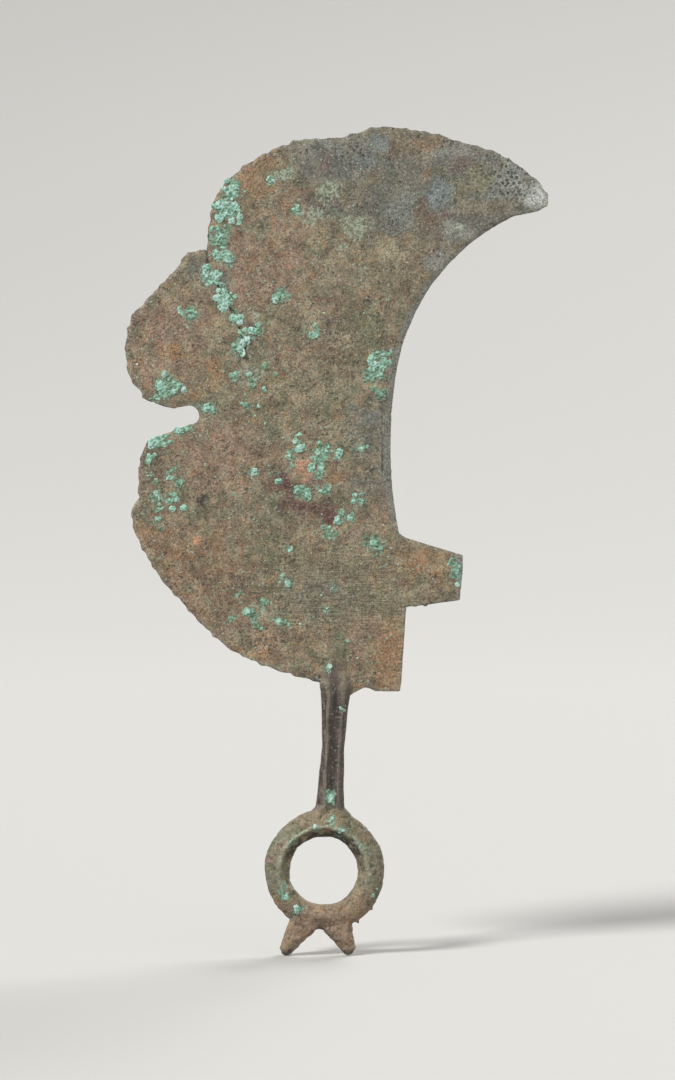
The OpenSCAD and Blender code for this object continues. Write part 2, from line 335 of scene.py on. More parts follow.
class Field:
    """Numbers at a mesh's vertices."""

    @staticmethod
    def _rows(mesh: Mesh, what: str) -> Array:
        """Read three numbers of each vertex.

        Args:
            mesh: the mesh to read.
            what: co for the places, normal for the normals.

        Returns:
            A row of three numbers for each vertex.
        """
        flat = np.empty(len(mesh.vertices) * 3, np.float32)
        mesh.vertices.foreach_get(what, flat)
        return flat.reshape(-1, 3).astype(float)

    @staticmethod
    def places(mesh: Mesh) -> Array:
        """Return each vertex's place, one row each."""
        return Field._rows(mesh, "co")

    @staticmethod
    def normals(mesh: Mesh) -> Array:
        """Return each vertex's normal, one row each."""
        return Field._rows(mesh, "normal")

    @staticmethod
    def write(mesh: Mesh, fields: dict[str, Array]) -> None:
        """Write one number on each vertex for each of several attributes.

        Args:
            mesh: the mesh to write on.
            fields: the attributes' names, each with one number for each vertex.
        """
        for name, values in fields.items():
            layer = mesh.attributes.new(name, "FLOAT", "POINT")
            layer.data.foreach_set("value", values.astype(np.float32))

    @staticmethod
    def write_colour(mesh: Mesh, name: str, values: Array) -> None:
        """Write one linear colour on each vertex as a named attribute.

        Args:
            mesh: the mesh to write on.
            name: the attribute's name.
            values: a row of three numbers for each vertex.
        """
        layer = mesh.color_attributes.new(name=name, type="FLOAT_COLOR", domain="POINT")
        rows = np.ones((len(values), 4), np.float32)
        rows[:, :3] = values
        layer.data.foreach_set("color", rows.ravel())

    @staticmethod
    def group(thing: Thing, fields: dict[str, Array], levels: int = 20) -> None:
        """Write vertex groups for modifiers to read, in a few levels.

        Args:
            thing: the object that gets the groups.
            fields: the groups' names, each with a number from 0 to 1 for each vertex.
            levels: how many steps the numbers are rounded to.
        """
        for name, weights in fields.items():
            group = thing.vertex_groups.new(name=name)
            steps = np.rint(np.clip(weights, 0, 1) * levels).astype(int)
            for step in range(levels + 1):
                members = np.flatnonzero(steps == step).tolist()
                if members:
                    group.add(members, step / levels, "REPLACE")

    @staticmethod
    def crest(mesh: Mesh, passes: int) -> Array:
        """Measure how far each vertex stands out of the surface round it.

        Args:
            mesh: the mesh to measure.
            passes: how many times the surface is averaged; more sees broader ridges.

        Returns:
            One height in metres for each vertex, positive on ridges.
        """
        ends = np.empty(len(mesh.edges) * 2, np.int32)
        mesh.edges.foreach_get("vertices", ends)
        ends = ends.reshape(-1, 2)
        places = Field.places(mesh)
        count = np.bincount(ends.ravel(), minlength=len(places)).clip(1)[:, None]
        mean = places
        for _ in range(passes):
            total = np.zeros_like(places)
            np.add.at(total, ends[:, 0], mean[ends[:, 1]])
            np.add.at(total, ends[:, 1], mean[ends[:, 0]])
            mean = total / count
        return ((places - mean) * Field.normals(mesh)).sum(1)

    @staticmethod
    def wander(places: Array, size: float, seed: float) -> Array:
        """Return smooth noise from about -1 to 1 at each place.

        Args:
            places: one row for each vertex.
            size: the size of the noise's lumps in metres.
            seed: a shift that gives another pattern.

        Returns:
            One number for each vertex.
        """
        shifted = places / size + np.array([seed, 2 * seed, 3 * seed])
        return np.array([noise.noise(Vector(p)) for p in shifted])


@dataclass(frozen=True)
class Ramp:
    """A smooth step between two values."""

    low: float
    high: float

    def rise(self, value: Array) -> Array:
        """Return 0 up to the low value, 1 from the high one on, and a smooth step between."""
        part = np.clip((value - self.low) / (self.high - self.low), 0, 1)
        return part * part * (3 - 2 * part)

    def fall(self, value: Array) -> Array:
        """Return 1 up to the low value, 0 from the high one on, and a smooth step between."""
        return 1 - self.rise(value)

    def over(self, base: float) -> "Ramp":
        """Return the ramp measured from a base."""
        return Ramp(base + self.low, base + self.high)


@dataclass(frozen=True)
class Hump:
    """A soft hump round one value."""

    centre: float
    width: float

    def at(self, value: Array) -> Array:
        """Return 1 at the centre and less the further from it."""
        return np.exp(-(((value - self.centre) / self.width) ** 2))


def tint(colour: Array, amount: Array, tone: Array) -> None:
    """Draw colours towards a tone, in place.

    Args:
        colour: a row for each vertex, which changes.
        amount: how far each vertex's colour goes, from 0 to 1.
        tone: one tone for all, or a row for each vertex.
    """
    colour += amount[:, None] * (tone - colour)


def surface(mesh: Mesh) -> BVHTree:
    """Return a mesh's surface, ready to be searched for hits and nearest points."""
    places = [vertex.co.copy() for vertex in mesh.vertices]
    return BVHTree.FromPolygons(places, [tuple(face.vertices) for face in mesh.polygons])


def search_tree(places: Sequence[Sequence[float]], members: Sequence[int]) -> kdtree.KDTree:
    """Return a tree that finds the nearest of some of the places.

    Args:
        places: all the places.
        members: the numbers of those that the tree holds.

    Returns:
        The tree, which answers with the places' own numbers.
    """
    tree = kdtree.KDTree(len(members))
    for index in members:
        tree.insert(Vector(places[index]), index)
    tree.balance()
    return tree


@dataclass(frozen=True)
class Zone:
    """A soft oval zone, centred on a pixel of the photograph."""

    px: float
    py: float
    half_w: float
    half_h: float
    strength: float = 1.0


@dataclass(frozen=True)
class Patch(Zone):
    """A zone of one tone."""

    tone: Tone = Tone.GROUND


@dataclass(frozen=True)
class Cloud:
    """Clouds of one tone that drift over the whole sheet."""

    tone: Tone
    size: float
    seed: float
    low: float
    high: float
    amount: float

    def thickness(self, places: Array, shift: float) -> Array:
        """Return how thick the clouds are at each place, from 0 to 1, for a shift of their seed."""
        return Ramp(self.low, self.high).rise(Field.wander(places, self.size, shift + self.seed))


# Clouds of tone over both faces, in the order in which they are laid
GROUND_CLOUDS = (
    Cloud(Tone.OLIVE, 9 * MM, 0.0, 0.0, 0.5, 0.6),
    Cloud(Tone.PINK_BROWN, 8 * MM, 3.7, 0.0, 0.5, 0.6),
    Cloud(Tone.GREY, 6 * MM, 8.2, 0.12, 0.5, 0.35),
    Cloud(Tone.BROWN, 3.4 * MM, 5.1, 0.12, 0.4, 0.6),
    Cloud(Tone.LIGHT_BUFF, 2.8 * MM, 1.9, 0.1, 0.4, 0.5),
    Cloud(Tone.ORANGE, 2.2 * MM, 6.6, 0.12, 0.45, 0.4),
    Cloud(Tone.MOSS, 2.5 * MM, 4.4, 0.15, 0.42, 0.5),
    Cloud(Tone.BROWN, 1.5 * MM, 2.3, 0.15, 0.4, 0.45),
    Cloud(Tone.LIGHT_BUFF, 1.3 * MM, 7.1, 0.15, 0.4, 0.45),
)

# Patches of tone on the front face, the last on top
FRONT_PATCHES = (
    Patch(468, 186, 112, 74, 1.0, Tone.GREY),
    Patch(348, 160, 78, 38, 1.0, Tone.GREY),
    Patch(388, 212, 32, 42, 0.9, Tone.GREY),
    Patch(338, 198, 44, 36, 0.8, Tone.GREY),
    Patch(168, 340, 52, 66, 1.0, Tone.PINK_BROWN),
    Patch(262, 262, 60, 62, 0.85, Tone.PINK_BROWN),
    Patch(252, 182, 18, 20, 0.6, Tone.ORANGE),
    Patch(268, 160, 26, 12, 0.6, Tone.ORANGE),
    Patch(336, 190, 34, 12, 0.5, Tone.MOSS),
    Patch(308, 194, 12, 7, 0.7, Tone.BROWN),
    Patch(333, 142, 52, 12, 0.45, Tone.PALE_GREY),
    Patch(300, 149, 22, 12, 0.3, Tone.PALE_GREY),
    Patch(326, 163, 9, 10, 0.9, Tone.RED),
    Patch(366, 160, 14, 9, 0.9, Tone.BLUE_GREY),
    Patch(216, 458, 64, 46, 0.95, Tone.PINK_BROWN),
    Patch(196, 572, 76, 66, 0.75, Tone.ORANGE),
    Patch(262, 574, 52, 44, 0.6, Tone.BROWN),
    Patch(196, 600, 90, 80, 0.3, Tone.BROWN),
    Patch(180, 505, 60, 40, 0.3, Tone.BROWN),
    Patch(240, 638, 96, 26, 0.6, Tone.PINK_BROWN),
    Patch(322, 590, 82, 56, 0.9, Tone.OLIVE),
    Patch(290, 545, 62, 26, 0.6, Tone.OLIVE),
    Patch(322, 598, 52, 30, 0.5, Tone.GREY),
    Patch(262, 390, 42, 30, 0.5, Tone.OLIVE),
    Patch(345, 316, 38, 40, 0.6, Tone.BROWN),
    Patch(366, 332, 24, 26, 0.7, Tone.MOSS),
    Patch(366, 424, 34, 38, 0.95, Tone.GREY),
    Patch(368, 480, 30, 40, 0.7, Tone.GREY),
    Patch(302, 425, 40, 22, 0.6, Tone.OLIVE),
    Patch(285, 485, 24, 9, 0.85, Tone.DEEP_RED),
    Patch(294, 503, 20, 13, 0.8, Tone.DEEP_RED),
    Patch(320, 509, 22, 12, 0.75, Tone.DEEP_RED),
    Patch(331, 517, 10, 8, 0.9, Tone.DEEP_RED),
    Patch(313, 482, 15, 8, 0.7, Tone.RED),
    Patch(281, 467, 13, 7, 0.6, Tone.RED),
    Patch(360, 548, 34, 18, 0.45, Tone.LIGHT_BUFF),
    Patch(350, 536, 18, 7, 0.5, Tone.RED),
    Patch(303, 468, 7, 17, 0.6, Tone.COPPER),
    Patch(336, 478, 13, 10, 0.7, Tone.ORANGE),
    Patch(213, 508, 15, 6, 0.6, Tone.BROWN),
    Patch(202, 501, 7, 6, 0.8, Tone.CHANNEL),
    Patch(198, 540, 8, 6, 1.0, Tone.COPPER),
    Patch(196, 565, 11, 7, 0.6, Tone.BROWN),
    Patch(188, 592, 30, 16, 0.6, Tone.PINK_BROWN),
    Patch(268, 652, 58, 13, 0.8, Tone.ORANGE),
    Patch(390, 655, 24, 44, 0.75, Tone.ORANGE),
    Patch(372, 650, 26, 42, 0.55, Tone.PINK_BROWN),
    Patch(351, 655, 6, 30, 0.8, Tone.PINK_BROWN),
    Patch(302, 674, 24, 8, 0.7, Tone.BROWN),
    Patch(308, 318, 20, 18, 0.5, Tone.LIGHT_BUFF),
    Patch(348, 396, 20, 18, 0.5, Tone.MOSS),
    Patch(338, 644, 9, 18, 0.8, Tone.MOSS),
    Patch(336, 679, 9, 21, 0.65, Tone.PURPLE),
    Patch(425, 570, 34, 28, 0.9, Tone.ORANGE),
    Patch(424, 582, 30, 14, 0.45, Tone.BROWN),
    Patch(412, 597, 26, 8, 0.7, Tone.OLIVE),
    Patch(458, 572, 9, 22, 0.85, Tone.BLUE_GREY),
    Patch(150, 468, 18, 40, 0.6, Tone.BROWN),
    Patch(147, 466, 7, 7, 0.8, Tone.BROWN),
    Patch(139, 535, 14, 24, 0.6, Tone.ORANGE),
    Patch(196, 273, 14, 13, 0.7, Tone.GREY),
    Patch(172, 352, 15, 9, 0.8, Tone.ORANGE),
    Patch(178, 364, 8, 12, 0.7, Tone.BROWN),
    Patch(152, 352, 13, 11, 0.6, Tone.OLIVE),
    Patch(215, 370, 18, 20, 0.5, Tone.ORANGE),
    Patch(250, 325, 7, 5, 0.9, Tone.RED),
    Patch(255, 339, 6, 5, 0.8, Tone.RED),
    Patch(223, 278, 8, 16, 0.7, Tone.GREY),
    Patch(416, 146, 38, 15, 1.0, Tone.TAN),
    Patch(425, 143, 18, 8, 0.4, Tone.ORANGE),
    Patch(393, 150, 11, 15, 0.8, Tone.BROWN),
    Patch(382, 139, 12, 13, 0.9, Tone.BLUE_GREY),
    Patch(448, 150, 30, 10, 0.85, Tone.PALE_GREY),
    Patch(441, 173, 17, 6, 0.9, Tone.MOSS),
    Patch(427, 174, 8, 7, 0.5, Tone.ORANGE),
    Patch(457, 190, 14, 14, 0.75, Tone.YELLOW_OLIVE),
    Patch(480, 179, 15, 16, 0.7, Tone.YELLOW_OLIVE),
    Patch(464, 167, 16, 9, 0.6, Tone.RED),
    Patch(437, 194, 24, 13, 1.0, Tone.BLUE_GREY),
    Patch(421, 206, 9, 12, 0.95, Tone.BROWN),
    Patch(433, 220, 14, 12, 1.0, Tone.BROWN),
    Patch(448, 216, 12, 7, 0.6, Tone.RED),
    Patch(434, 250, 8, 18, 1.0, Tone.BROWN),
    Patch(485, 207, 34, 13, 0.85, Tone.TAN),
    Patch(400, 210, 14, 26, 0.7, Tone.PALE_GREY),
    Patch(396, 256, 20, 15, 0.8, Tone.LIGHT_BUFF),
    Patch(402, 290, 18, 9, 0.8, Tone.BROWN),
    Patch(506, 176, 38, 32, 1.0, Tone.PALE_GREY),
    Patch(458, 233, 26, 10, 0.8, Tone.PALE_GREY),
    Patch(441, 262, 16, 22, 0.8, Tone.PALE_GREY),
    Patch(538, 196, 14, 16, 1.0, Tone.WHITE),
    Patch(520, 186, 12, 14, 0.4, Tone.WHITE),
    Patch(457, 228, 6, 4, 1.0, Tone.BLOOM),
)

# Patches of tone on the back face, which the photograph doesn't show
REAR_PATCHES = (
    Patch(300, 230, 90, 60, 0.7, Tone.OLIVE),
    Patch(430, 180, 90, 50, 0.9, Tone.GREY),
    Patch(360, 250, 50, 40, 0.5, Tone.BROWN),
    Patch(220, 340, 80, 70, 0.7, Tone.PINK_BROWN),
    Patch(230, 540, 80, 60, 0.6, Tone.ORANGE),
    Patch(330, 430, 60, 60, 0.5, Tone.GREY),
    Patch(290, 480, 40, 24, 0.5, Tone.RED),
    Patch(330, 590, 60, 50, 0.6, Tone.OLIVE),
    Patch(400, 620, 50, 60, 0.6, Tone.TAN),
    Patch(540, 197, 12, 13, 0.8, Tone.WHITE),
)

# Zones where the patina is even
CALM_ZONES = (
    Zone(460, 190, 150, 100, 0.95),
    Zone(352, 160, 78, 36, 0.95),
    Zone(395, 215, 34, 40, 0.6),
    Zone(340, 205, 36, 30, 0.5),
    Zone(374, 450, 30, 90, 0.4),
    Zone(538, 198, 20, 20, 0.9),
    Zone(336, 590, 84, 58, 0.7),
)

# Zones with fine scratches along X
BRUSHED_ZONES = (
    Zone(326, 592, 110, 72, 1.0),
    Zone(330, 440, 60, 60, 0.5),
    Zone(200, 420, 60, 40, 0.4),
)

# Zones with big dark specks
SPECKLED_ZONES = (
    Zone(506, 178, 36, 34, 1.0),
    Zone(520, 190, 16, 18, 0.9),
    Zone(450, 143, 18, 7, 0.8),
    Zone(357, 150, 20, 10, 1.0),
    Zone(330, 148, 24, 8, 0.6),
    Zone(434, 196, 16, 12, 0.6),
    Zone(405, 212, 16, 16, 0.5),
    Zone(290, 180, 22, 14, 0.75),
    Zone(330, 205, 30, 24, 0.5),
    Zone(303, 505, 36, 22, 0.7),
    Zone(203, 501, 11, 9, 0.9),
    Zone(258, 640, 54, 15, 0.7),
    Zone(160, 470, 22, 32, 0.6),
    Zone(205, 590, 50, 50, 0.4),
    Zone(340, 350, 50, 40, 0.4),
)

# Zones with flecks of pale bloom
FLECKED_ZONES = (
    Zone(283, 176, 26, 16, 1.0),
    Zone(296, 211, 9, 8, 0.7),
    Zone(314, 216, 26, 14, 0.95),
    Zone(328, 190, 26, 20, 0.9),
    Zone(356, 226, 22, 24, 0.85),
    Zone(342, 246, 9, 7, 0.9),
    Zone(359, 276, 26, 14, 0.7),
    Zone(385, 300, 14, 12, 0.6),
    Zone(326, 261, 14, 5, 0.8),
    Zone(262, 240, 16, 10, 0.5),
    Zone(302, 290, 12, 12, 0.6),
    Zone(257, 316, 8, 14, 0.8),
    Zone(252, 375, 26, 26, 0.8),
    Zone(245, 350, 16, 14, 0.6),
    Zone(302, 362, 9, 8, 0.6),
    Zone(381, 394, 10, 12, 0.7),
    Zone(190, 322, 22, 8, 0.7),
    Zone(165, 490, 26, 36, 0.6),
    Zone(268, 505, 18, 16, 0.6),
    Zone(345, 485, 14, 10, 0.6),
    Zone(330, 530, 18, 14, 0.7),
    Zone(375, 549, 20, 16, 0.8),
    Zone(258, 612, 36, 18, 0.8),
    Zone(286, 584, 16, 9, 0.6),
    Zone(365, 585, 40, 30, 0.35),
    Zone(222, 258, 16, 12, 0.7),
    Zone(404, 205, 16, 26, 0.4),
)


@dataclass(frozen=True)
class Cluster:
    """A cluster of crust grains, as the box of photograph pixels that it fills."""

    left: float
    top: float
    right: float
    bottom: float
    cover: float = 0.7
    grain: float = 0.34 * MM
    bright: float = 0.5

    def zone(self, reach: float) -> Zone:
        """Find the oval zone round the cluster.

        Args:
            reach: how far the zone spreads past the cluster, in pixels.

        Returns:
            The zone.
        """
        middle = (0.5 * (self.left + self.right), 0.5 * (self.top + self.bottom))
        half = (0.5 * (self.right - self.left) + reach, 0.5 * (self.bottom - self.top) + reach)
        return Zone(*middle, *half)


# Clusters of crust on the place of each crust node of the frame
CLUSTERS: dict[str, tuple[Cluster, ...]] = {
    "notch_crust": (
        Cluster(221, 178, 243, 202, 1.0, 0.34 * MM, 0.8),
        Cluster(213, 196, 241, 226, 1.2, 0.38 * MM, 0.85),
        Cluster(211, 222, 230, 254, 1.05, 0.36 * MM, 0.45),
        Cluster(224, 252, 235, 265, 1.3, 0.42 * MM, 0.45),
        Cluster(208, 246, 222, 264, 0.5, 0.3 * MM, 0.4),
    ),
    "crack_crust": (
        Cluster(203, 267, 219, 286, 1.4, 0.5 * MM, 0.85),
        Cluster(216, 282, 223, 289, 1.2, 0.4 * MM, 0.8),
        Cluster(216, 289, 235, 311, 1.5, 0.48 * MM, 0.85),
        Cluster(232, 311, 242, 323, 1.2, 0.42 * MM, 0.8),
        Cluster(236, 328, 253, 348, 1.3, 0.46 * MM, 0.8),
        Cluster(233, 342, 246, 357, 0.9, 0.38 * MM, 0.5),
    ),
    "back_crust": (
        Cluster(367, 348, 394, 368, 0.8, 0.4 * MM, 0.5),
        Cluster(364, 362, 386, 384, 0.8, 0.4 * MM, 0.45),
        Cluster(373, 384, 388, 400, 0.56, 0.34 * MM, 0.4),
    ),
    "slit_crust": (
        Cluster(152, 374, 182, 401, 0.95, 0.36 * MM, 0.6),
        Cluster(201, 402, 212, 414, 0.9, 0.36 * MM, 0.6),
        Cluster(146, 431, 171, 448, 1.15, 0.36 * MM, 0.6),
        Cluster(170, 421, 191, 436, 1.1, 0.36 * MM, 0.65),
        Cluster(150, 396, 160, 404, 0.6, 0.3 * MM, 0.7),
    ),
    "rim_crust": (
        Cluster(143, 452, 160, 486, 0.32, 0.34 * MM, 0.4),
        Cluster(168, 463, 184, 486, 0.5, 0.36 * MM, 0.4),
        Cluster(144, 490, 184, 513, 0.54, 0.38 * MM, 0.5),
        Cluster(150, 519, 162, 530, 0.5, 0.34 * MM, 0.5),
    ),
    "belly_crust": (
        Cluster(293, 433, 303, 446, 0.64, 0.36 * MM, 0.45),
        Cluster(286, 446, 304, 465, 0.72, 0.38 * MM, 0.5),
        Cluster(309, 441, 337, 467, 0.85, 0.38 * MM, 0.5),
        Cluster(311, 466, 322, 478, 0.96, 0.5 * MM, 0.5),
        Cluster(352, 441, 367, 452, 0.56, 0.34 * MM, 0.3),
        Cluster(294, 483, 311, 498, 0.96, 0.6 * MM, 0.3),
        Cluster(317, 483, 330, 495, 0.72, 0.38 * MM, 0.4),
        Cluster(349, 493, 367, 505, 0.64, 0.36 * MM, 0.35),
        Cluster(334, 510, 346, 524, 0.72, 0.38 * MM, 0.4),
        Cluster(349, 511, 357, 522, 0.64, 0.34 * MM, 0.35),
        Cluster(322, 526, 336, 540, 0.85, 0.38 * MM, 0.35),
        Cluster(362, 533, 386, 558, 0.55, 0.36 * MM, 0.2),
        Cluster(247, 470, 258, 478, 0.64, 0.34 * MM, 0.4),
        Cluster(271, 476, 281, 484, 0.56, 0.34 * MM, 0.3),
    ),
    "heel_crust": (
        Cluster(278, 577, 292, 587, 0.5, 0.36 * MM, 0.2),
        Cluster(232, 591, 243, 600, 0.5, 0.34 * MM, 0.2),
        Cluster(257, 598, 268, 607, 0.5, 0.34 * MM, 0.2),
        Cluster(243, 608, 256, 623, 0.75, 0.4 * MM, 0.3),
        Cluster(226, 615, 236, 623, 0.6, 0.34 * MM, 0.35),
        Cluster(251, 620, 265, 630, 0.68, 0.36 * MM, 0.25),
        Cluster(270, 618, 288, 626, 0.6, 0.34 * MM, 0.3),
        Cluster(321, 606, 329, 614, 0.6, 0.32 * MM, 0.3),
    ),
    "spur_crust": (
        Cluster(448, 559, 464, 588, 0.65, 0.34 * MM, 0.25),
    ),
    "ring_crust": (
        Cluster(277, 886, 288, 898, 0.68, 0.36 * MM, 0.45),
        Cluster(291, 904, 302, 916, 0.68, 0.38 * MM, 0.55),
        Cluster(329, 793, 336, 805, 0.9, 0.36 * MM, 0.8),
        Cluster(329, 812, 335, 826, 0.75, 0.32 * MM, 0.5),
        Cluster(310, 824, 321, 829, 0.6, 0.26 * MM, 0.7),
        Cluster(337, 827, 350, 832, 0.6, 0.26 * MM, 0.7),
        Cluster(288, 837, 299, 845, 0.38, 0.26 * MM, 0.4),
        Cluster(359, 840, 373, 849, 0.3, 0.26 * MM, 0.4),
        Cluster(372, 888, 382, 902, 0.22, 0.24 * MM, 0.3),
    ),
}

# Small clusters on the front that have no node of their own
SCATTER_CLUSTERS = (
    Cluster(266, 178, 275, 186, 0.9, 0.34 * MM, 0.4),
    Cluster(293, 207, 301, 215, 0.9, 0.34 * MM, 0.5),
    Cluster(180, 305, 200, 318, 0.9, 0.36 * MM, 0.35),
    Cluster(275, 289, 289, 302, 0.9, 0.36 * MM, 0.3),
    Cluster(309, 322, 320, 339, 0.8, 0.36 * MM, 0.35),
    Cluster(232, 372, 242, 379, 0.9, 0.36 * MM, 0.5),
    Cluster(242, 402, 250, 409, 0.8, 0.36 * MM, 0.5),
    Cluster(255, 320, 263, 340, 0.5, 0.3 * MM, 0.3),
    Cluster(236, 360, 275, 410, 0.14, 0.32 * MM, 0.3),
    Cluster(338, 630, 349, 652, 0.25, 0.26 * MM, 0.05),
    Cluster(327, 666, 331, 677, 0.9, 0.24 * MM, 0.35),
    Cluster(337, 702, 347, 714, 0.4, 0.24 * MM, 0.5),
    Cluster(286, 546, 294, 553, 0.7, 0.3 * MM, 0.4),
    Cluster(331, 584, 337, 590, 0.7, 0.3 * MM, 0.3),
)

# Shifts of the clouds' seeds, which make the two faces differ
FRONT_SHIFT = 4.0
REAR_SHIFT = 21.0


@dataclass(frozen=True)
class Relief:
    """A cloudy noise that swells, roughens or pits a skin."""

    name: str
    size: float
    height: float
    depth: int = 1
    floor: float = 0.0
    ceiling: float = 1.0
    middle: float = 0.5
    push: Push = Push.OUT
    group: str = ""

    def lay(self, thing: Thing) -> None:
        """Displace an object's skin by the noise, and less where its vertex group is weak.

        Args:
            thing: the object, with the vertex group that the relief names, if any.
        """
        Bench.shape(
            thing,
            "DISPLACE",
            texture=self._texture(f"{self.name} on {thing.name}"),
            texture_coords="LOCAL",
            strength=self.height,
            mid_level=self.middle,
            direction=self.push.value,
            vertex_group=self.group,
        )

    def _texture(self, name: str) -> bpy.types.Texture:
        """Make the noise's texture.

        Args:
            name: the texture's name.

        Returns:
            The texture, which runs from 0 at the floor to 1 at the ceiling.
        """
        texture = bpy.data.textures.new(name, "CLOUDS")
        texture.noise_scale = self.size
        texture.noise_depth = self.depth
        texture.use_color_ramp = True
        low, high = texture.color_ramp.elements
        low.position = self.floor
        low.color = (0, 0, 0, 1)
        high.position = self.ceiling
        high.color = (1, 1, 1, 1)
        return texture


@dataclass
class Painter:
    """Reads the zones and clouds of tone at a skin's vertices, given as one row each."""

    places: Array
    edge: Ramp = Ramp(0.3, 1.15)
    stain_edge: Ramp = Ramp(0.2, 1.0)
    warp: float = 1.9 * MM
    warp_size: float = 3.2 * MM
    warp_seeds: Span = (3.1, 7.7)
    fine_warp: float = 0.7 * MM
    fine_size: float = 1.3 * MM
    fine_seeds: Span = (1.3, 9.1)
    full_shake: float = 30
    broad_cloud: float = 4 * MM
    broad_patch: float = 24.5
    calm: float = 0.75

    def __post_init__(self) -> None:
        """Shake the places along X and Z, which makes the zones' outlines ragged."""
        broad = [Field.wander(self.places, self.warp_size, seed) for seed in self.warp_seeds]
        fine = [Field.wander(self.places, self.fine_size, seed) for seed in self.fine_seeds]
        self.shake = self.warp * np.array(broad) + self.fine_warp * np.array(fine)

    def _away(self, zone: Zone) -> Array:
        """Measure how far each vertex lies from a zone's centre.

        Args:
            zone: the zone; a small one takes only a part of the shake.

        Returns:
            One number for each vertex, 1 on the zone's outline.
        """
        part = min(1.0, (zone.half_w + zone.half_h) / self.full_shake)
        across = self.places[:, 0] + part * self.shake[0] - PHOTO.x(zone.px)
        up = self.places[:, 2] + part * self.shake[1] - PHOTO.z(zone.py)
        return np.hypot(across / (zone.half_w * PHOTO.pixel), up / (zone.half_h * PHOTO.pixel))

    def cover(self, zone: Zone) -> Array:
        """Return how strongly a zone covers each vertex, from 0 to 1."""
        return zone.strength * self.edge.fall(self._away(zone))

    def most(self, zones: Sequence[Zone]) -> Array:
        """Return how strongly the strongest of several zones covers each vertex."""
        return np.array([self.cover(zone) for zone in zones]).max(axis=0)

    def tones(self, patches: Sequence[Patch], shift: float) -> Array:
        """Lay the broad clouds and patches, and then the small ones over them.

        Args:
            patches: the patches, the last on top.
            shift: a shift of the clouds' seeds.

        Returns:
            A linear colour for each vertex.
        """
        colour = np.tile(Tone.GROUND.light, (len(self.places), 1))
        calm = self.calm * self.most(CALM_ZONES)
        for broad in (True, False):
            share = 1 if broad else 1 - calm
            for cloud in GROUND_CLOUDS:
                if (cloud.size > self.broad_cloud) == broad:
                    amount = cloud.amount * share * cloud.thickness(self.places, shift)
                    tint(colour, amount, cloud.tone.light)
            for patch in patches:
                if (patch.half_w > self.broad_patch) == broad:
                    tint(colour, self.cover(patch), patch.tone.light)
        return colour

    def stain(self, clusters: Sequence[Cluster], reach: float) -> Array:
        """Measure how green each vertex is from the crust near it.

        Args:
            clusters: the clusters of grains.
            reach: how far the stain spreads past a cluster, in pixels.

        Returns:
            A number from 0 to 1 for each vertex.
        """
        total = np.zeros(len(self.places))
        for cluster in clusters:
            near = self.stain_edge.fall(self._away(cluster.zone(reach)))
            total = np.maximum(total, near * min(1.0, cluster.cover))
        return total


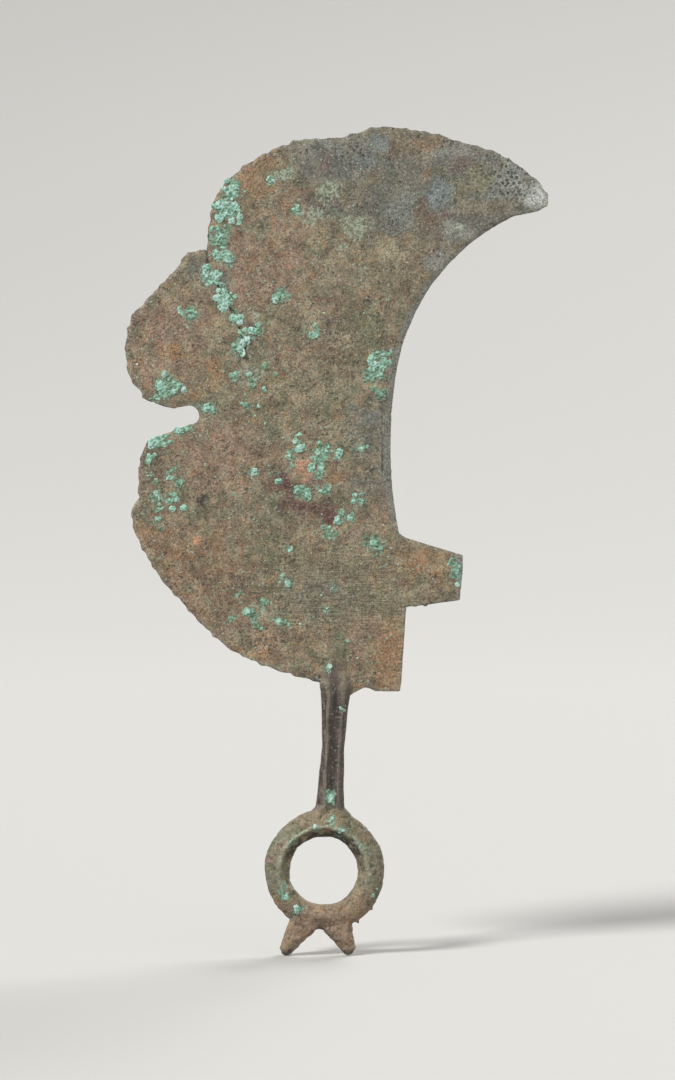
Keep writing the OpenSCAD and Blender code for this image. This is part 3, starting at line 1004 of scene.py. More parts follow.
@dataclass
class BladeSheet:
    """One sheet of worn bronze, cut fine enough to hold its pits and its ragged edge."""

    node: str
    name: str
    neighbour: str
    step: float = 0.4 * MM
    rough_step: float = 0.9 * MM
    merge_share: float = 0.22
    flat_angle: float = math.radians(2)
    sharp: float = math.radians(62)
    wall_lean: float = 0.5
    wall_bands: tuple[float, ...] = (-0.72 * MM, -0.36 * MM, 0.0, 0.36 * MM, 0.72 * MM)
    touch: float = 0.25 * MM
    thick: float = 1.1 * MM
    least_relief: float = 0.3
    handle_drop: float = 5 * MM
    handle_relief: float = 0.35
    off_handle: Ramp = Ramp(3 * MM, 9 * MM)
    crack_open: Ramp = Ramp(PHOTO.z(372), PHOTO.z(345))
    shut_lips: float = 1 * MM
    off_shut_crack: Ramp = Ramp(0.2 * MM, 0.9 * MM)
    off_crack: Ramp = Ramp(0.5 * MM, 1.5 * MM)
    round_rim: Ramp = Ramp(0.2 * MM, 0.7 * MM)
    nibbled_rim: Ramp = Ramp(0.3 * MM, 1.2 * MM)
    least_ragged: float = 0.28
    upper_part: Ramp = Ramp(76 * MM, 88 * MM)
    right_part: Ramp = Ramp(4 * MM, 14 * MM)
    right_calm: float = 0.75
    bevel_lean: Ramp = Ramp(0.22, 0.42)
    bevel_face: Ramp = Ramp(0.3, 0.6)
    bevel_pale: float = 0.75
    bevel_wear: float = 0.6
    # how far in from the outline the worn metal and its painted highlight reach
    rim_wear_and_highlight: Ramp = Ramp(0.25 * MM, 0.9 * MM)
    least_flecks: float = 0.36
    stain_reach: float = 5
    crack_shade_line: Ramp = Ramp(0.12 * MM, 0.5 * MM)
    reliefs: tuple[Relief, ...] = (
        Relief("swell", 9 * MM, 0.35 * MM, push=Push.ALONG_Y),
        Relief("grain", 1.1 * MM, 0.22 * MM, depth=3, group="pitted"),
        Relief(
            "pits", 2.2 * MM, -0.22 * MM, depth=2, floor=0.58, ceiling=0.74, middle=0.0,
            group="pitted",
        ),
        Relief("nibble", 4.6 * MM, 0.8 * MM, depth=2, middle=0.55, group="nibble"),
        Relief("chip", 1.3 * MM, -0.24 * MM, floor=0.5, ceiling=0.8, middle=0.0, group="nibble"),
    )

    def build(self) -> Thing:
        """Model the sheet and write its tones.

        Returns:
            The finished sheet.
        """
        sheet = Bench.copy_node(self.node, self.name)
        self._cut_grid(sheet)
        self._restore_crown(sheet)
        rim, crack = self._rim(sheet)
        self._weather(sheet, rim, crack)
        self._paint(sheet, rim, crack)
        Bench.take(sheet)
        bpy.ops.object.shade_smooth_by_angle(angle=self.sharp)
        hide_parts(self.node)
        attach(sheet, BODY)
        return sheet

    def _cut_grid(self, sheet: Thing) -> None:
        """Merge the flats, cut the whole sheet into small squares, and its walls into thin bands.

        Args:
            sheet: the sheet.
        """
        step = self.step
        low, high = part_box(self.node)
        Bench.open_all(sheet)
        bpy.ops.mesh.dissolve_limited(angle_limit=self.flat_angle)
        for axis in (0, 2):
            for place in np.arange(low[axis] + 0.5 * step, high[axis], step):
                normal = Vector((axis == 0, 0, axis == 2))
                bpy.ops.mesh.select_all(action="SELECT")
                bpy.ops.mesh.bisect(plane_co=normal * place, plane_no=normal, threshold=CUT_WITHIN)
        bpy.ops.mesh.select_all(action="SELECT")
        bpy.ops.mesh.remove_doubles(threshold=self.merge_share * step)
        bpy.ops.object.mode_set(mode="OBJECT")
        for place in self.wall_bands:
            Bench.pick(sheet, self._is_wall)
            bpy.ops.mesh.bisect(plane_co=(0, place, 0), plane_no=(0, 1, 0), threshold=CUT_WITHIN)
            bpy.ops.object.mode_set(mode="OBJECT")

    def _is_wall(self, face: bpy.types.MeshPolygon) -> bool:
        """Return whether a face is of the wall along the rim, and not of the two broad faces."""
        return abs(face.normal.y) < self.wall_lean

    def _wall_members(self, sheet: Thing) -> list[int]:
        """Return the numbers of the vertices on the walls."""
        walls = (face for face in sheet.data.polygons if self._is_wall(face))
        return sorted({vertex for face in walls for vertex in face.vertices})

    def _restore_crown(self, sheet: Thing) -> None:
        """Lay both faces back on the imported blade's crowned faces.

        Args:
            sheet: the sheet.
        """
        on_face = np.ones(len(sheet.data.vertices))
        on_face[self._wall_members(sheet)] = 0
        Field.group(sheet, {"faces": on_face})
        Bench.shape(
            sheet,
            "SHRINKWRAP",
            wrap_method="PROJECT",
            use_project_y=True,
            use_negative_direction=True,
            use_positive_direction=True,
            target=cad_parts[self.node],
            vertex_group="faces",
        )

    def _rim(self, sheet: Thing) -> tuple[Array, Array]:
        """Measure how near each vertex lies to the sheet's outline and to the crack.

        Args:
            sheet: the sheet.

        Returns:
            Each vertex's distance in metres from the outline, and from the crack.
        """
        places = Field.places(sheet.data)
        other = surface(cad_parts[self.neighbour].data)
        outline: list[int] = []
        crack: list[int] = []
        for index in self._wall_members(sheet):
            touching = other.find_nearest(Vector(places[index]), self.touch)[0] is not None
            (crack if touching else outline).append(index)
        return self._away(places, outline), self._away(places, crack)

    @staticmethod
    def _away(places: Array, members: Sequence[int]) -> Array:
        """Return each vertex's distance in metres from the nearest member."""
        tree = search_tree(places, members)
        return np.array([tree.find(Vector(place))[2] for place in places])

    def _weather(self, sheet: Thing, rim: Array, crack: Array) -> None:
        """Round the rim, nibble it and pit the faces.

        Args:
            sheet: the sheet.
            rim: each vertex's distance from the outline.
            crack: each vertex's distance from the crack.
        """
        places = Field.places(sheet.data)
        share = np.clip(np.abs(places[:, 1]) / self.thick, self.least_relief, 1)
        low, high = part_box("stem")
        across = places[:, 0] - 0.5 * (low.x + high.x)
        from_handle = np.hypot(across, places[:, 2] - (high.z - self.handle_drop))
        calm = self.handle_relief + (1 - self.handle_relief) * self.off_handle.rise(from_handle)
        shut = self.crack_open.fall(places[:, 2])
        lips = crack + self.shut_lips * shut
        free = 1 - shut * self.off_shut_crack.fall(crack)
        at_rim = self.nibbled_rim.fall(rim) * self.off_crack.rise(crack)
        groups = {
            "round": self.round_rim.fall(np.minimum(rim, lips)),
            "nibble": at_rim * self._ragged(places),
            "pitted": share * calm * free,
            "free": free,
        }
        Field.group(sheet, groups)
        Bench.shape(sheet, "SMOOTH", factor=0.5, iterations=2, vertex_group="free")
        Bench.shape(sheet, "SMOOTH", factor=0.5, iterations=3, vertex_group="round")
        for relief in self.reliefs:
            relief.lay(sheet)

    def _ragged(self, places: Array) -> Array:
        """Measure how ragged the outline is: most at the upper left, least on the right.

        Args:
            places: one row for each vertex.

        Returns:
            A number from 0 to 1 for each vertex.
        """
        upper = self.upper_part.rise(places[:, 2])
        right = self.right_part.rise(places[:, 0])
        return (self.least_ragged + (1 - self.least_ragged) * upper) * (1 - self.right_calm * right)

    def _paint(self, sheet: Thing, rim: Array, crack: Array) -> None:
        """Write the tones and the masks that the finish reads.

        Args:
            sheet: the sheet.
            rim: each vertex's distance from the outline.
            crack: each vertex's distance from the crack.
        """
        mesh = sheet.data
        places = Field.places(mesh)
        normals = Field.normals(mesh)
        front = places[:, 1] < 0
        both_faces = Painter(places)
        front_face = Painter(places[front])
        tones = both_faces.tones(REAR_PATCHES, REAR_SHIFT)
        tones[front] = front_face.tones(FRONT_PATCHES, FRONT_SHIFT)
        bevel = self.bevel_lean.rise(normals[:, 0]) * self.bevel_face.rise(np.abs(normals[:, 1]))
        tint(tones, self.bevel_pale * bevel, Tone.PALE_GREY.light)
        clusters = [c for group in CLUSTERS.values() for c in group] + list(SCATTER_CLUSTERS)
        stain = np.zeros(len(places))
        stain[front] = front_face.stain(clusters, self.stain_reach)
        masks = {
            # lighter along the outline: worn metal with a painted highlight on it, and the worn bevel
            "worn": np.maximum(self.rim_wear_and_highlight.fall(rim), self.bevel_wear * bevel),
            "specks": both_faces.most(SPECKLED_ZONES),
            "mottled": 1 - both_faces.most(CALM_ZONES),
            "flecks": np.maximum(self.least_flecks, both_faces.most(FLECKED_ZONES)),
            "brushed": both_faces.most(BRUSHED_ZONES),
            "stain": stain,
            # painted shade: a near-black line along the lips of the open crack
            "crack": self.crack_open.rise(places[:, 2]) * self.crack_shade_line.fall(crack),
        }
        Field.write_colour(mesh, "tone", tones)
        Field.write(mesh, masks)


@dataclass
class HandleCasting:
    """The stem, the ring and the two prongs, modelled as one casting and then parted."""

    voxel: float = 0.18 * MM
    rough_voxel: float = 0.35 * MM
    lap: float = 0.03 * MM
    lap_half_w: float = 3.2 * MM
    lap_from: float = -10.5 * MM
    lap_to: float = -1.5 * MM
    lap_sink: float = 0.15 * MM
    burrs: tuple[Span, ...] = ((357, 920), (370, 907))
    burr_r: float = 0.75 * MM
    burr_tip: float = 0.2
    burr_len: float = 1.3 * MM
    press: float = 0.78
    press_spread: float = 1.25
    press_from: float = 4.5 * MM
    press_reach: float = 7 * MM
    stem_calm: float = 0.85
    calm_over_ring: Ramp = Ramp(-1 * MM, 3 * MM)
    crest: Hump = Hump(8.0 * MM, 0.42 * MM)
    crest_height: float = 0.26 * MM
    crest_from: Ramp = Ramp(-3 * MM, 1 * MM)
    crest_to: Ramp = Ramp(8.6 * MM, 9.6 * MM)
    front: Ramp = Ramp(0, 0.5 * MM)
    reliefs: tuple[Relief, ...] = (
        Relief("swell", 5 * MM, 0.4 * MM),
        Relief("grain", 1.0 * MM, 0.24 * MM, depth=3, group="rough"),
        Relief(
            "pits", 1.8 * MM, -0.25 * MM, depth=2, floor=0.56, ceiling=0.72, middle=0.0,
            group="rough",
        ),
    )
    stem_over_ring: Ramp = Ramp(-0.5 * MM, 1.5 * MM)
    tongue_under_top: Ramp = Ramp(-10.5 * MM, -6 * MM)
    tongue_share: float = 0.85
    ridge_passes: int = 10
    ridge_height: Ramp = Ramp(0.02 * MM, 0.12 * MM)
    stain_reach: float = 6
    cloud_size: float = 3 * MM
    cloud_seed: float = 2.2
    small_size: float = 1.2 * MM
    small_seed: float = 6.4
    green_side: float = 70
    green_up: float = 20
    blue_side: float = 55
    inner_bevel: Ramp = Ramp(-0.7 * MM, -0.2 * MM)
    shade_on_upper_bevel: Ramp = Ramp(0.5 * MM, 3.5 * MM)
    joint_x: float = -0.5 * MM
    joint_z: float = -10.6 * MM
    joint_r: Ramp = Ramp(0.6 * MM, 2.4 * MM)
    prong_tips: Ramp = Ramp(-14.6 * MM, -13.6 * MM)
    stem_foot_x: float = 0.7 * MM
    stem_lean: float = 1.4 * MM
    half_w: float = 2.35 * MM
    ridge: Hump = Hump(-0.3, 0.1)
    channel: Hump = Hump(0.12, 0.24)
    flakes: Hump = Hump(-0.35, 0.2)
    flakes_to: Ramp = Ramp(13 * MM, 17 * MM)
    seam: float = 0.25 * MM
    prong_seam: float = -0.15 * MM
    prong_parting: float = -0.55 * MM
    sharp: float = math.radians(75)

    def build(self) -> list[Thing]:
        """Model the casting, write its tones and part it.

        Returns:
            The stem, the ring and the left and right prongs.
        """
        whole = self._gather()
        self._fuse(whole)
        self._flatten_tongue(whole)
        self._weather(whole)
        self._paint(whole)
        return self._part(whole)

    def _gather(self) -> Thing:
        """Join copies of the four nodes, a patch of the blade and the burrs.

        Returns:
            The joined copies, which still cross one another.
        """
        copies = []
        for node in ("suspension_ring", "stem", "left_prong", "right_prong"):
            copy = Bench.copy_node(node, f"{node}_blank")
            Bench.shape(copy, "DISPLACE", strength=self.lap, mid_level=0.0, direction="NORMAL")
            copies.append(copy)
        copies.append(self._lap_patch())
        copies += [self._burr(px, py) for px, py in self.burrs]
        return Bench.join(copies, "handle_casting")

    def _lap_patch(self) -> Thing:
        """Cut out the part of the blade that the stem's tongue lies on, a little thinner.

        Returns:
            The patch of the blade.
        """
        low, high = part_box("stem")
        middle = 0.5 * (low.x + high.x)
        patch = Bench.copy_node("blade", "lap_patch")
        for place, normal in (
            (Vector((middle - self.lap_half_w, 0, 0)), Vector((1, 0, 0))),
            (Vector((middle + self.lap_half_w, 0, 0)), Vector((-1, 0, 0))),
            (Vector((0, 0, high.z + self.lap_from)), Vector((0, 0, 1))),
            (Vector((0, 0, high.z + self.lap_to)), Vector((0, 0, -1))),
        ):
            Bench.cut(patch, place, normal)
        Bench.shape(patch, "DISPLACE", strength=-self.lap_sink, mid_level=0.0, direction="NORMAL")
        return patch

    def _burr(self, px: float, py: float) -> Thing:
        """Model one jag of flash that stands out of the ring's rim.

        Args:
            px: its pixel column in the photograph.
            py: its pixel row.

        Returns:
            The burr, which points away from the bore.
        """
        place = Vector((PHOTO.x(px), 0, PHOTO.z(py)))
        bpy.ops.object.select_all(action="DESELECT")
        bpy.ops.mesh.primitive_cone_add(
            vertices=7,
            radius1=self.burr_r,
            radius2=self.burr_tip * self.burr_r,
            depth=self.burr_len,
            location=place,
            rotation=place.to_track_quat("Z", "Y").to_euler(),
        )
        bpy.ops.object.transform_apply(location=True, rotation=True, scale=True)
        return bpy.context.view_layer.objects.active

    def _fuse(self, whole: Thing) -> None:
        """Melt the copies into one skin and soften its facets.

        Args:
            whole: the joined copies.
        """
        voxel = self.voxel
        Bench.shape(whole, "REMESH", mode="VOXEL", voxel_size=voxel, adaptivity=0.0)
        Bench.shape(whole, "SMOOTH", factor=0.5, iterations=4)

    def _flatten_tongue(self, whole: Thing) -> None:
        """Press the tip of the tongue down on the blade, and let the press fade below it.

        Args:
            whole: the casting.
        """
        low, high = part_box("stem")
        line = high.z - self.press_from
        Bench.pick(whole, lambda face: face.center.z > line)
        bpy.ops.transform.resize(
            value=(self.press_spread, self.press, 1),
            center_override=(0.5 * (low.x + high.x), 0, high.z),
            use_proportional_edit=True,
            proportional_edit_falloff="SMOOTH",
            proportional_size=self.press_reach,
        )
        bpy.ops.object.mode_set(mode="OBJECT")

    def _weather(self, whole: Thing) -> None:
        """Raise the ring's crest, and give the ring a rough skin and the stem a calmer one.

        Args:
            whole: the casting.
        """
        places = Field.places(whole.data)
        stem = self.calm_over_ring.over(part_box("suspension_ring")[1].z).rise(places[:, 2])
        groups = {"rough": 1 - self.stem_calm * stem, "crest": self._crest_line(places)}
        Field.group(whole, groups)
        Bench.shape(
            whole,
            "DISPLACE",
            strength=self.crest_height,
            mid_level=0.0,
            direction="NORMAL",
            vertex_group="crest",
        )
        for relief in self.reliefs:
            relief.lay(whole)

    def _crest_line(self, places: Array) -> Array:
        """Measure how near each vertex lies to the crest on the front of the ring.

        Args:
            places: one row for each vertex.

        Returns:
            A number from 0 to 1 for each vertex.
        """
        x, y, z = places.T
        upper = self.crest_from.rise(z) * self.crest_to.fall(z)
        return self.crest.at(np.hypot(x, z)) * upper * self.front.rise(-y)

    def _paint(self, whole: Thing) -> None:
        """Write the tones and the masks that the finish reads.

        Args:
            whole: the casting.
        """
        mesh = whole.data
        places = Field.places(mesh)
        crest = Field.crest(mesh, self.ridge_passes)
        on_stem = self.stem_over_ring.over(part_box("suspension_ring")[1].z).rise(places[:, 2])
        on_tongue = self.tongue_under_top.over(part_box("stem")[1].z).rise(places[:, 2])
        small = Field.wander(places, self.small_size, self.small_seed)
        painter = Painter(places)
        colour = np.tile(Tone.BUFF.light, (len(places), 1))
        for tone, amount in self._ring_coats(places, small):
            tint(colour, amount, tone.light)
        for tone, amount in self._stem_coats(places, small):
            tint(colour, on_stem * amount, tone.light)
        blade_tones = painter.tones(FRONT_PATCHES, FRONT_SHIFT)
        tint(colour, self.tongue_share * on_tongue, blade_tones)
        stain = painter.stain(CLUSTERS["ring_crust"], self.stain_reach)
        masks = {
            # lighter on ridges: worn metal with a painted highlight along them
            "worn": self.ridge_height.rise(crest),
            # painted shade in the dips of the casting's surface
            "hollow": self.ridge_height.rise(-crest),
            "polish": on_stem * (1 - on_tongue),
            "stain": np.where(places[:, 1] < 0, stain, 0),
        }
        Field.write_colour(mesh, "tone", colour)
        Field.write(mesh, masks)

    def _ring_coats(self, places: Array, small: Array) -> list[tuple[Tone, Array]]:
        """Measure the tones of the ring and the prongs, with painted shade on the upper inner bevel and
        a painted highlight along the crest.

        Args:
            places: one row for each vertex.
            small: small clouds, with a number from about -1 to 1 for each vertex.

        Returns:
            Each tone with its amount at each vertex, the last on top.
        """
        x, y, z = places.T
        clouds = Field.wander(places, self.cloud_size, self.cloud_seed)
        green = clouds + self.green_side * np.abs(x) + self.green_up * z
        blue = small + self.blue_side * np.abs(x)
        inside = self.inner_bevel.over(self.crest.centre).fall(np.hypot(x, z))
        bevel = inside * self.shade_on_upper_bevel.rise(z) * self.front.rise(-y)
        joint = self.joint_r.fall(np.hypot(x - self.joint_x, z - self.joint_z))
        return [
            (Tone.MOSS, 0.75 * Ramp(0.25, 0.65).rise(green)),
            (Tone.BLUE_GREY, 0.45 * Ramp(0.35, 0.65).rise(blue) * Ramp(-6 * MM, 0).rise(z)),
            (Tone.BROWN, 0.5 * Ramp(0.1, 0.55).rise(-clouds)),
            (Tone.PINK_BROWN, 0.7 * Ramp(3 * MM, 8 * MM).rise(-z)),
            (Tone.ORANGE, 0.4 * Ramp(0.1, 0.5).rise(small)),
            # painted shade: the upper inner bevel of the bore, which faces down, is darkened
            (Tone.CHANNEL, 0.9 * bevel * Ramp(-0.5, -0.1).rise(small)),
            (Tone.RED, 0.7 * joint),
            # pale bloom along the ring's front crest, partly a painted highlight there
            (Tone.BLOOM, self._crest_line(places) * Ramp(-0.3, 0.0).rise(small)),
            (Tone.CHANNEL, 0.7 * self.prong_tips.fall(z)),
        ]

    def _stem_coats(self, places: Array, small: Array) -> list[tuple[Tone, Array]]:
        """Measure the tones of the stem: dark, with a pale ridge, partly a painted highlight, beside a
        darker channel.

        Args:
            places: one row for each vertex.
            small: small clouds, with a number from about -1 to 1 for each vertex.

        Returns:
            Each tone with its amount at each vertex, the last on top.
        """
        x, y, z = places.T
        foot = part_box("suspension_ring")[1].z
        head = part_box("stem")[1].z
        along = np.clip((z - foot) / (head - foot), 0, 1)
        across = (x - self.stem_foot_x - self.stem_lean * along) / self.half_w
        flakes = self.flakes.at(across) * self.flakes_to.fall(z) * self.front.rise(-y)
        sides = Ramp(0.3, 0.7).rise(np.abs(across)) * Ramp(0.4, 0.8).fall(along)
        return [
            (Tone.STEM, np.ones(len(places))),
            (Tone.BROWN, 0.35 * Ramp(0.1, 0.5).rise(small)),
            (Tone.PURPLE, 0.6 * sides),
            (Tone.CHANNEL, 0.6 * self.channel.at(across)),
            # a pale line down the ridge: pale metal and a painted highlight
            (Tone.PALE_RIDGE_AND_HIGHLIGHT, 0.8 * self.ridge.at(across)),
            (Tone.BLOOM, 0.7 * flakes * Ramp(0.0, 0.3).rise(small)),
        ]

    def _part(self, whole: Thing) -> list[Thing]:
        """Cut the casting into its four pieces.

        Args:
            whole: the casting, which is used up.

        Returns:
            The stem, the ring and the left and right prongs.
        """
        low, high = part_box("suspension_ring")
        top = Vector((0, 0, high.z + self.seam))
        bottom = Vector((0, 0, low.z + self.prong_seam))
        parting = Vector((self.prong_parting, 0, 0))
        up = Vector((0, 0, 1))
        right = Vector((1, 0, 0))
        pieces = []
        for node, name, slot, cuts in (
            ("stem", "stem_casting", "stem_bronze", ((top, up),)),
            ("suspension_ring", "ring_casting", "ring_bronze", ((top, -up), (bottom, up))),
            ("left_prong", "left_prong_casting", "ring_bronze", ((bottom, -up), (parting, -right))),
            ("right_prong", "right_prong_casting", "ring_bronze", ((bottom, -up), (parting, right))),
        ):
            piece = Bench.duplicate(whole, name)
            for place, normal in cuts:
                Bench.cut(piece, place, normal)
            bpy.ops.object.shade_smooth_by_angle(angle=self.sharp)
            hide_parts(node)
            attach(piece, BODY)
            pieces.append(piece)
        bpy.data.objects.remove(whole)
        return pieces


@dataclass
class CrustGrains:
    """The grains of mineral crust, each seated on the dressed metal."""

    grounds: Sequence[Thing]
    seed: int = 41
    kinds: int = 5
    uneven: float = 0.3
    sink: float = 0.2
    voxel: float = 0.11 * MM
    rough_voxel: float = 0.2 * MM
    tooth: Relief = Relief("tooth", 0.45 * MM, 0.3 * MM, depth=2)
    crest_passes: int = 6
    crest_height: float = 0.05 * MM
    crest_shading_gain: float = 0.42
    brightest: float = 0.74
    blend_grains: int = 3
    blend_gap: float = 0.02 * MM
    skirt: float = 0.22 * MM
    skirt_shade: float = 0.55
    least_facing: float = 0.35
    nodule_r: float = 0.34 * MM
    least_r: float = 0.11 * MM
    most_r: float = 0.8 * MM
    spread: Span = (-0.3, 0.55)
    fill: float = 1.4
    crowding: float = 0.6
    lobes: int = 3
    lobe_size: float = 0.25
    lump_tall: Span = (0.26, 0.46)
    crumb_tall: Span = (0.4, 0.7)
    broad: Span = (0.75, 1.3)
    shades: Span = (0.82, 1.12)
    bright_mix: tuple[tuple[Crust, ...], Span] = ((Crust.PALE, Crust.MINT), (0.3, 0.7))
    dull_mix: tuple[tuple[Crust, ...], Triple] = (
        (Crust.TEAL, Crust.GREEN, Crust.MOSS),
        (0.45, 0.35, 0.2),
    )
    reach: float = 20 * MM
    rear_spots: int = 26
    rear_px: Span = (150, 420)
    rear_py: Span = (190, 640)
    rear_half: Span = (5, 14)
    rear_squat: float = 0.8
    rear_cover: float = 0.7
    rear_grain: float = 0.36 * MM
    rear_bright: float = 0.4
    loose: int = 1200
    loose_mm: Span = (0.14, 0.32)
    loose_bright: float = 0.2
    bare: Span = (480, 190)
    bare_r: float = 17 * MM

    def __post_init__(self) -> None:
        """Start the seeded choices and model the kinds of grain."""
        self.choice = random.Random(self.seed)
        self.surfaces = [surface(ground.data) for ground in self.grounds]
        self.centres: list[Vector] = []
        self.tones: list[Array] = []
        self.lumps = [self._lump(index) for index in range(self.kinds)]
        self.crumbs = [self._crumb(index + self.kinds) for index in range(self.kinds)]

    def build(self) -> list[Thing]:
        """Seat the grains of every crust node and the scattered ones.

        Returns:
            One piece for each crust node, and one for the scattered grains.
        """
        pieces = []
        for node, clusters in CLUSTERS.items():
            grains = [grain for cluster in clusters for grain in self._cluster(cluster, Side.FRONT)]
            piece = Bench.join(grains, f"{node}_grains")
            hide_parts(node)
            pieces.append(piece)
        pieces.append(Bench.join(self._scatter(), "scattered_grains"))
        tree = search_tree(self.centres, range(len(self.centres)))
        for piece in pieces:
            self._grow_together(piece)
            self._colour_in(piece.data, tree)
            Bench.smooth_shade(piece)
            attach(piece, BODY)
        for mesh in self.lumps + self.crumbs:
            bpy.data.meshes.remove(mesh)
        return pieces

    def _grow_together(self, piece: Thing) -> None:
        """Melt a piece's grains into one crust with a rough skin.

        Args:
            piece: the joined grains.
        """
        voxel = self.voxel
        Bench.shape(piece, "REMESH", mode="VOXEL", voxel_size=voxel, adaptivity=0.0)
        self.tooth.lay(piece)

    def _colour_in(self, mesh: Mesh, tree: kdtree.KDTree) -> None:
        """Colour a crust from its grains, with painted light and shade: brighter on crests, darker in
        its dips, and a darker moss where it meets the metal, partly painted shade.

        Args:
            mesh: the crust's mesh.
            tree: finds the grains nearest to a place.
        """
        crest = np.clip(Field.crest(mesh, self.crest_passes) / self.crest_height, -1, 1)
        colour = np.empty((len(mesh.vertices), 3))
        low = np.empty(len(mesh.vertices))
        for row, vertex in enumerate(mesh.vertices):
            near = tree.find_n(vertex.co, self.blend_grains)
            weights = np.array([1 / (distance + self.blend_gap) ** 2 for _, _, distance in near])
            tones = np.array([self.tones[index] for _, index, _ in near])
            colour[row] = (weights[:, None] * tones).sum(0) / weights.sum()
            low[row] = 1 - min(self._lift(vertex.co) / self.skirt, 1)
        # a darker moss at the foot of the crust: moss, and painted shade where it meets the metal
        tint(colour, self.skirt_shade * low, Crust.MOSS.light)
        # painted light and shade: brighter on the crests of the crust and darker in its dips
        bright = colour * (1 + self.crest_shading_gain * crest)[:, None]
        Field.write_colour(mesh, "tone", np.minimum(bright, self.brightest))

    def _lift(self, place: Vector) -> float:
        """Return how far a place stands off the metal in metres."""
        return min(found[3] for found in (ground.find_nearest(place) for ground in self.surfaces))

    def _lump(self, index: int) -> Mesh:
        """Model one of the round nodules.

        Args:
            index: which of the kinds it is.

        Returns:
            Its mesh, of unit radius.
        """
        bpy.ops.object.select_all(action="DESELECT")
        bpy.ops.mesh.primitive_uv_sphere_add(segments=8, ring_count=6, radius=1, location=(0, 0, 0))
        return self._make_uneven(index)

    def _crumb(self, index: int) -> Mesh:
        """Model one of the crumbs of few faces.

        Args:
            index: which of the kinds it is.

        Returns:
            Its mesh, of unit radius.
        """
        bpy.ops.object.select_all(action="DESELECT")
        bpy.ops.mesh.primitive_ico_sphere_add(subdivisions=1, radius=1, location=(0, 0, 0))
        return self._make_uneven(index)

    def _make_uneven(self, index: int) -> Mesh:
        """Push the new grain's corners about, keep its mesh and drop its object.

        Args:
            index: which of the kinds it is.

        Returns:
            The grain's mesh.
        """
        grain = bpy.context.view_layer.objects.active
        Bench.open_all(grain)
        bpy.ops.transform.vertex_random(offset=self.uneven, uniform=0.5, normal=0.8, seed=index)
        bpy.ops.object.mode_set(mode="OBJECT")
        mesh = grain.data
        bpy.data.objects.remove(grain)
        return mesh

    def _seat(self, x: float, z: float, side: Side) -> Optional[tuple[Vector, Vector]]:
        """Find the metal's surface at a place.

        Args:
            x: the place along X in metres.
            z: the place along Z in metres.
            side: the side of the razor that is looked at.

        Returns:
            The point and the normal there, or None where no metal faces that way.
        """
        way = Vector((0, side.value, 0))
        start = Vector((x, 0, z)) - self.reach * way
        best = None
        for ground in self.surfaces:
            point, normal, _, _ = ground.ray_cast(start, way)
            facing = point is not None and abs(normal.y) > self.least_facing
            if facing and (best is None or (point - best[0]).dot(way) < 0):
                best = (point, normal)
        return best

    def _grain(self, kind: Mesh, seat: tuple[Vector, Vector], r: float, crust: Crust) -> Thing:
        """Copy one grain to its seat, flattened a little.

        Args:
            kind: the grain's unit mesh.
            seat: the point and the normal that it lies on.
            r: its radius in metres.
            crust: its colour.

        Returns:
            The grain's object.
        """
        point, normal = seat
        tall = r * self.choice.uniform(*(self.lump_tall if r > self.nodule_r else self.crumb_tall))
        stretch = Matrix.Diagonal((r * self.choice.uniform(*self.broad), r, tall, 1))
        turn = Matrix.Rotation(self.choice.uniform(0, math.tau), 4, "Z")
        stand = normal.to_track_quat("Z", "Y").to_matrix().to_4x4()
        place = Matrix.Translation(point - normal * self.sink * tall)
        mesh = kind.copy()
        mesh.transform(place @ stand @ turn @ stretch)
        self.centres.append(point)
        self.tones.append(crust.light * self.choice.uniform(*self.shades))
        grain = bpy.data.objects.new("grain", mesh)
        bpy.context.scene.collection.objects.link(grain)
        return grain

    def _colour(self, bright: float) -> Crust:
        """Choose one grain's colour; bright is the share of pale grains."""
        mix = self.bright_mix if self.choice.random() < bright else self.dull_mix
        return self.choice.choices(*mix)[0]

    def _cluster(self, cluster: Cluster, side: Side) -> list[Thing]:
        """Seat the grains of one cluster.

        Args:
            cluster: the cluster's box and make-up.
            side: the side of the razor that it lies on.

        Returns:
            The cluster's grains.
        """
        half_w = 0.5 * (cluster.right - cluster.left)
        half_h = 0.5 * (cluster.bottom - cluster.top)
        budget = self.fill * cluster.cover * half_w * half_h * PHOTO.pixel**2
        grains: list[Thing] = []
        while budget > 0:
            r = cluster.grain * self.choice.lognormvariate(*self.spread)
            r = min(self.most_r, max(self.least_r, r))
            budget -= r * r
            way = self.choice.uniform(0, math.tau)
            lobe = 1 + self.lobe_size * math.sin(self.lobes * way + cluster.left)
            out = self.choice.random() ** self.crowding * lobe
            px = 0.5 * (cluster.left + cluster.right) + half_w * out * math.cos(way)
            py = 0.5 * (cluster.top + cluster.bottom) + half_h * out * math.sin(way)
            seat = self._seat(PHOTO.x(px), PHOTO.z(py), side)
            if seat is None:
                continue
            kinds = self.lumps if r > self.nodule_r else self.crumbs
            grains.append(self._grain(self.choice.choice(kinds), seat, r, self._colour(cluster.bright)))
        return grains

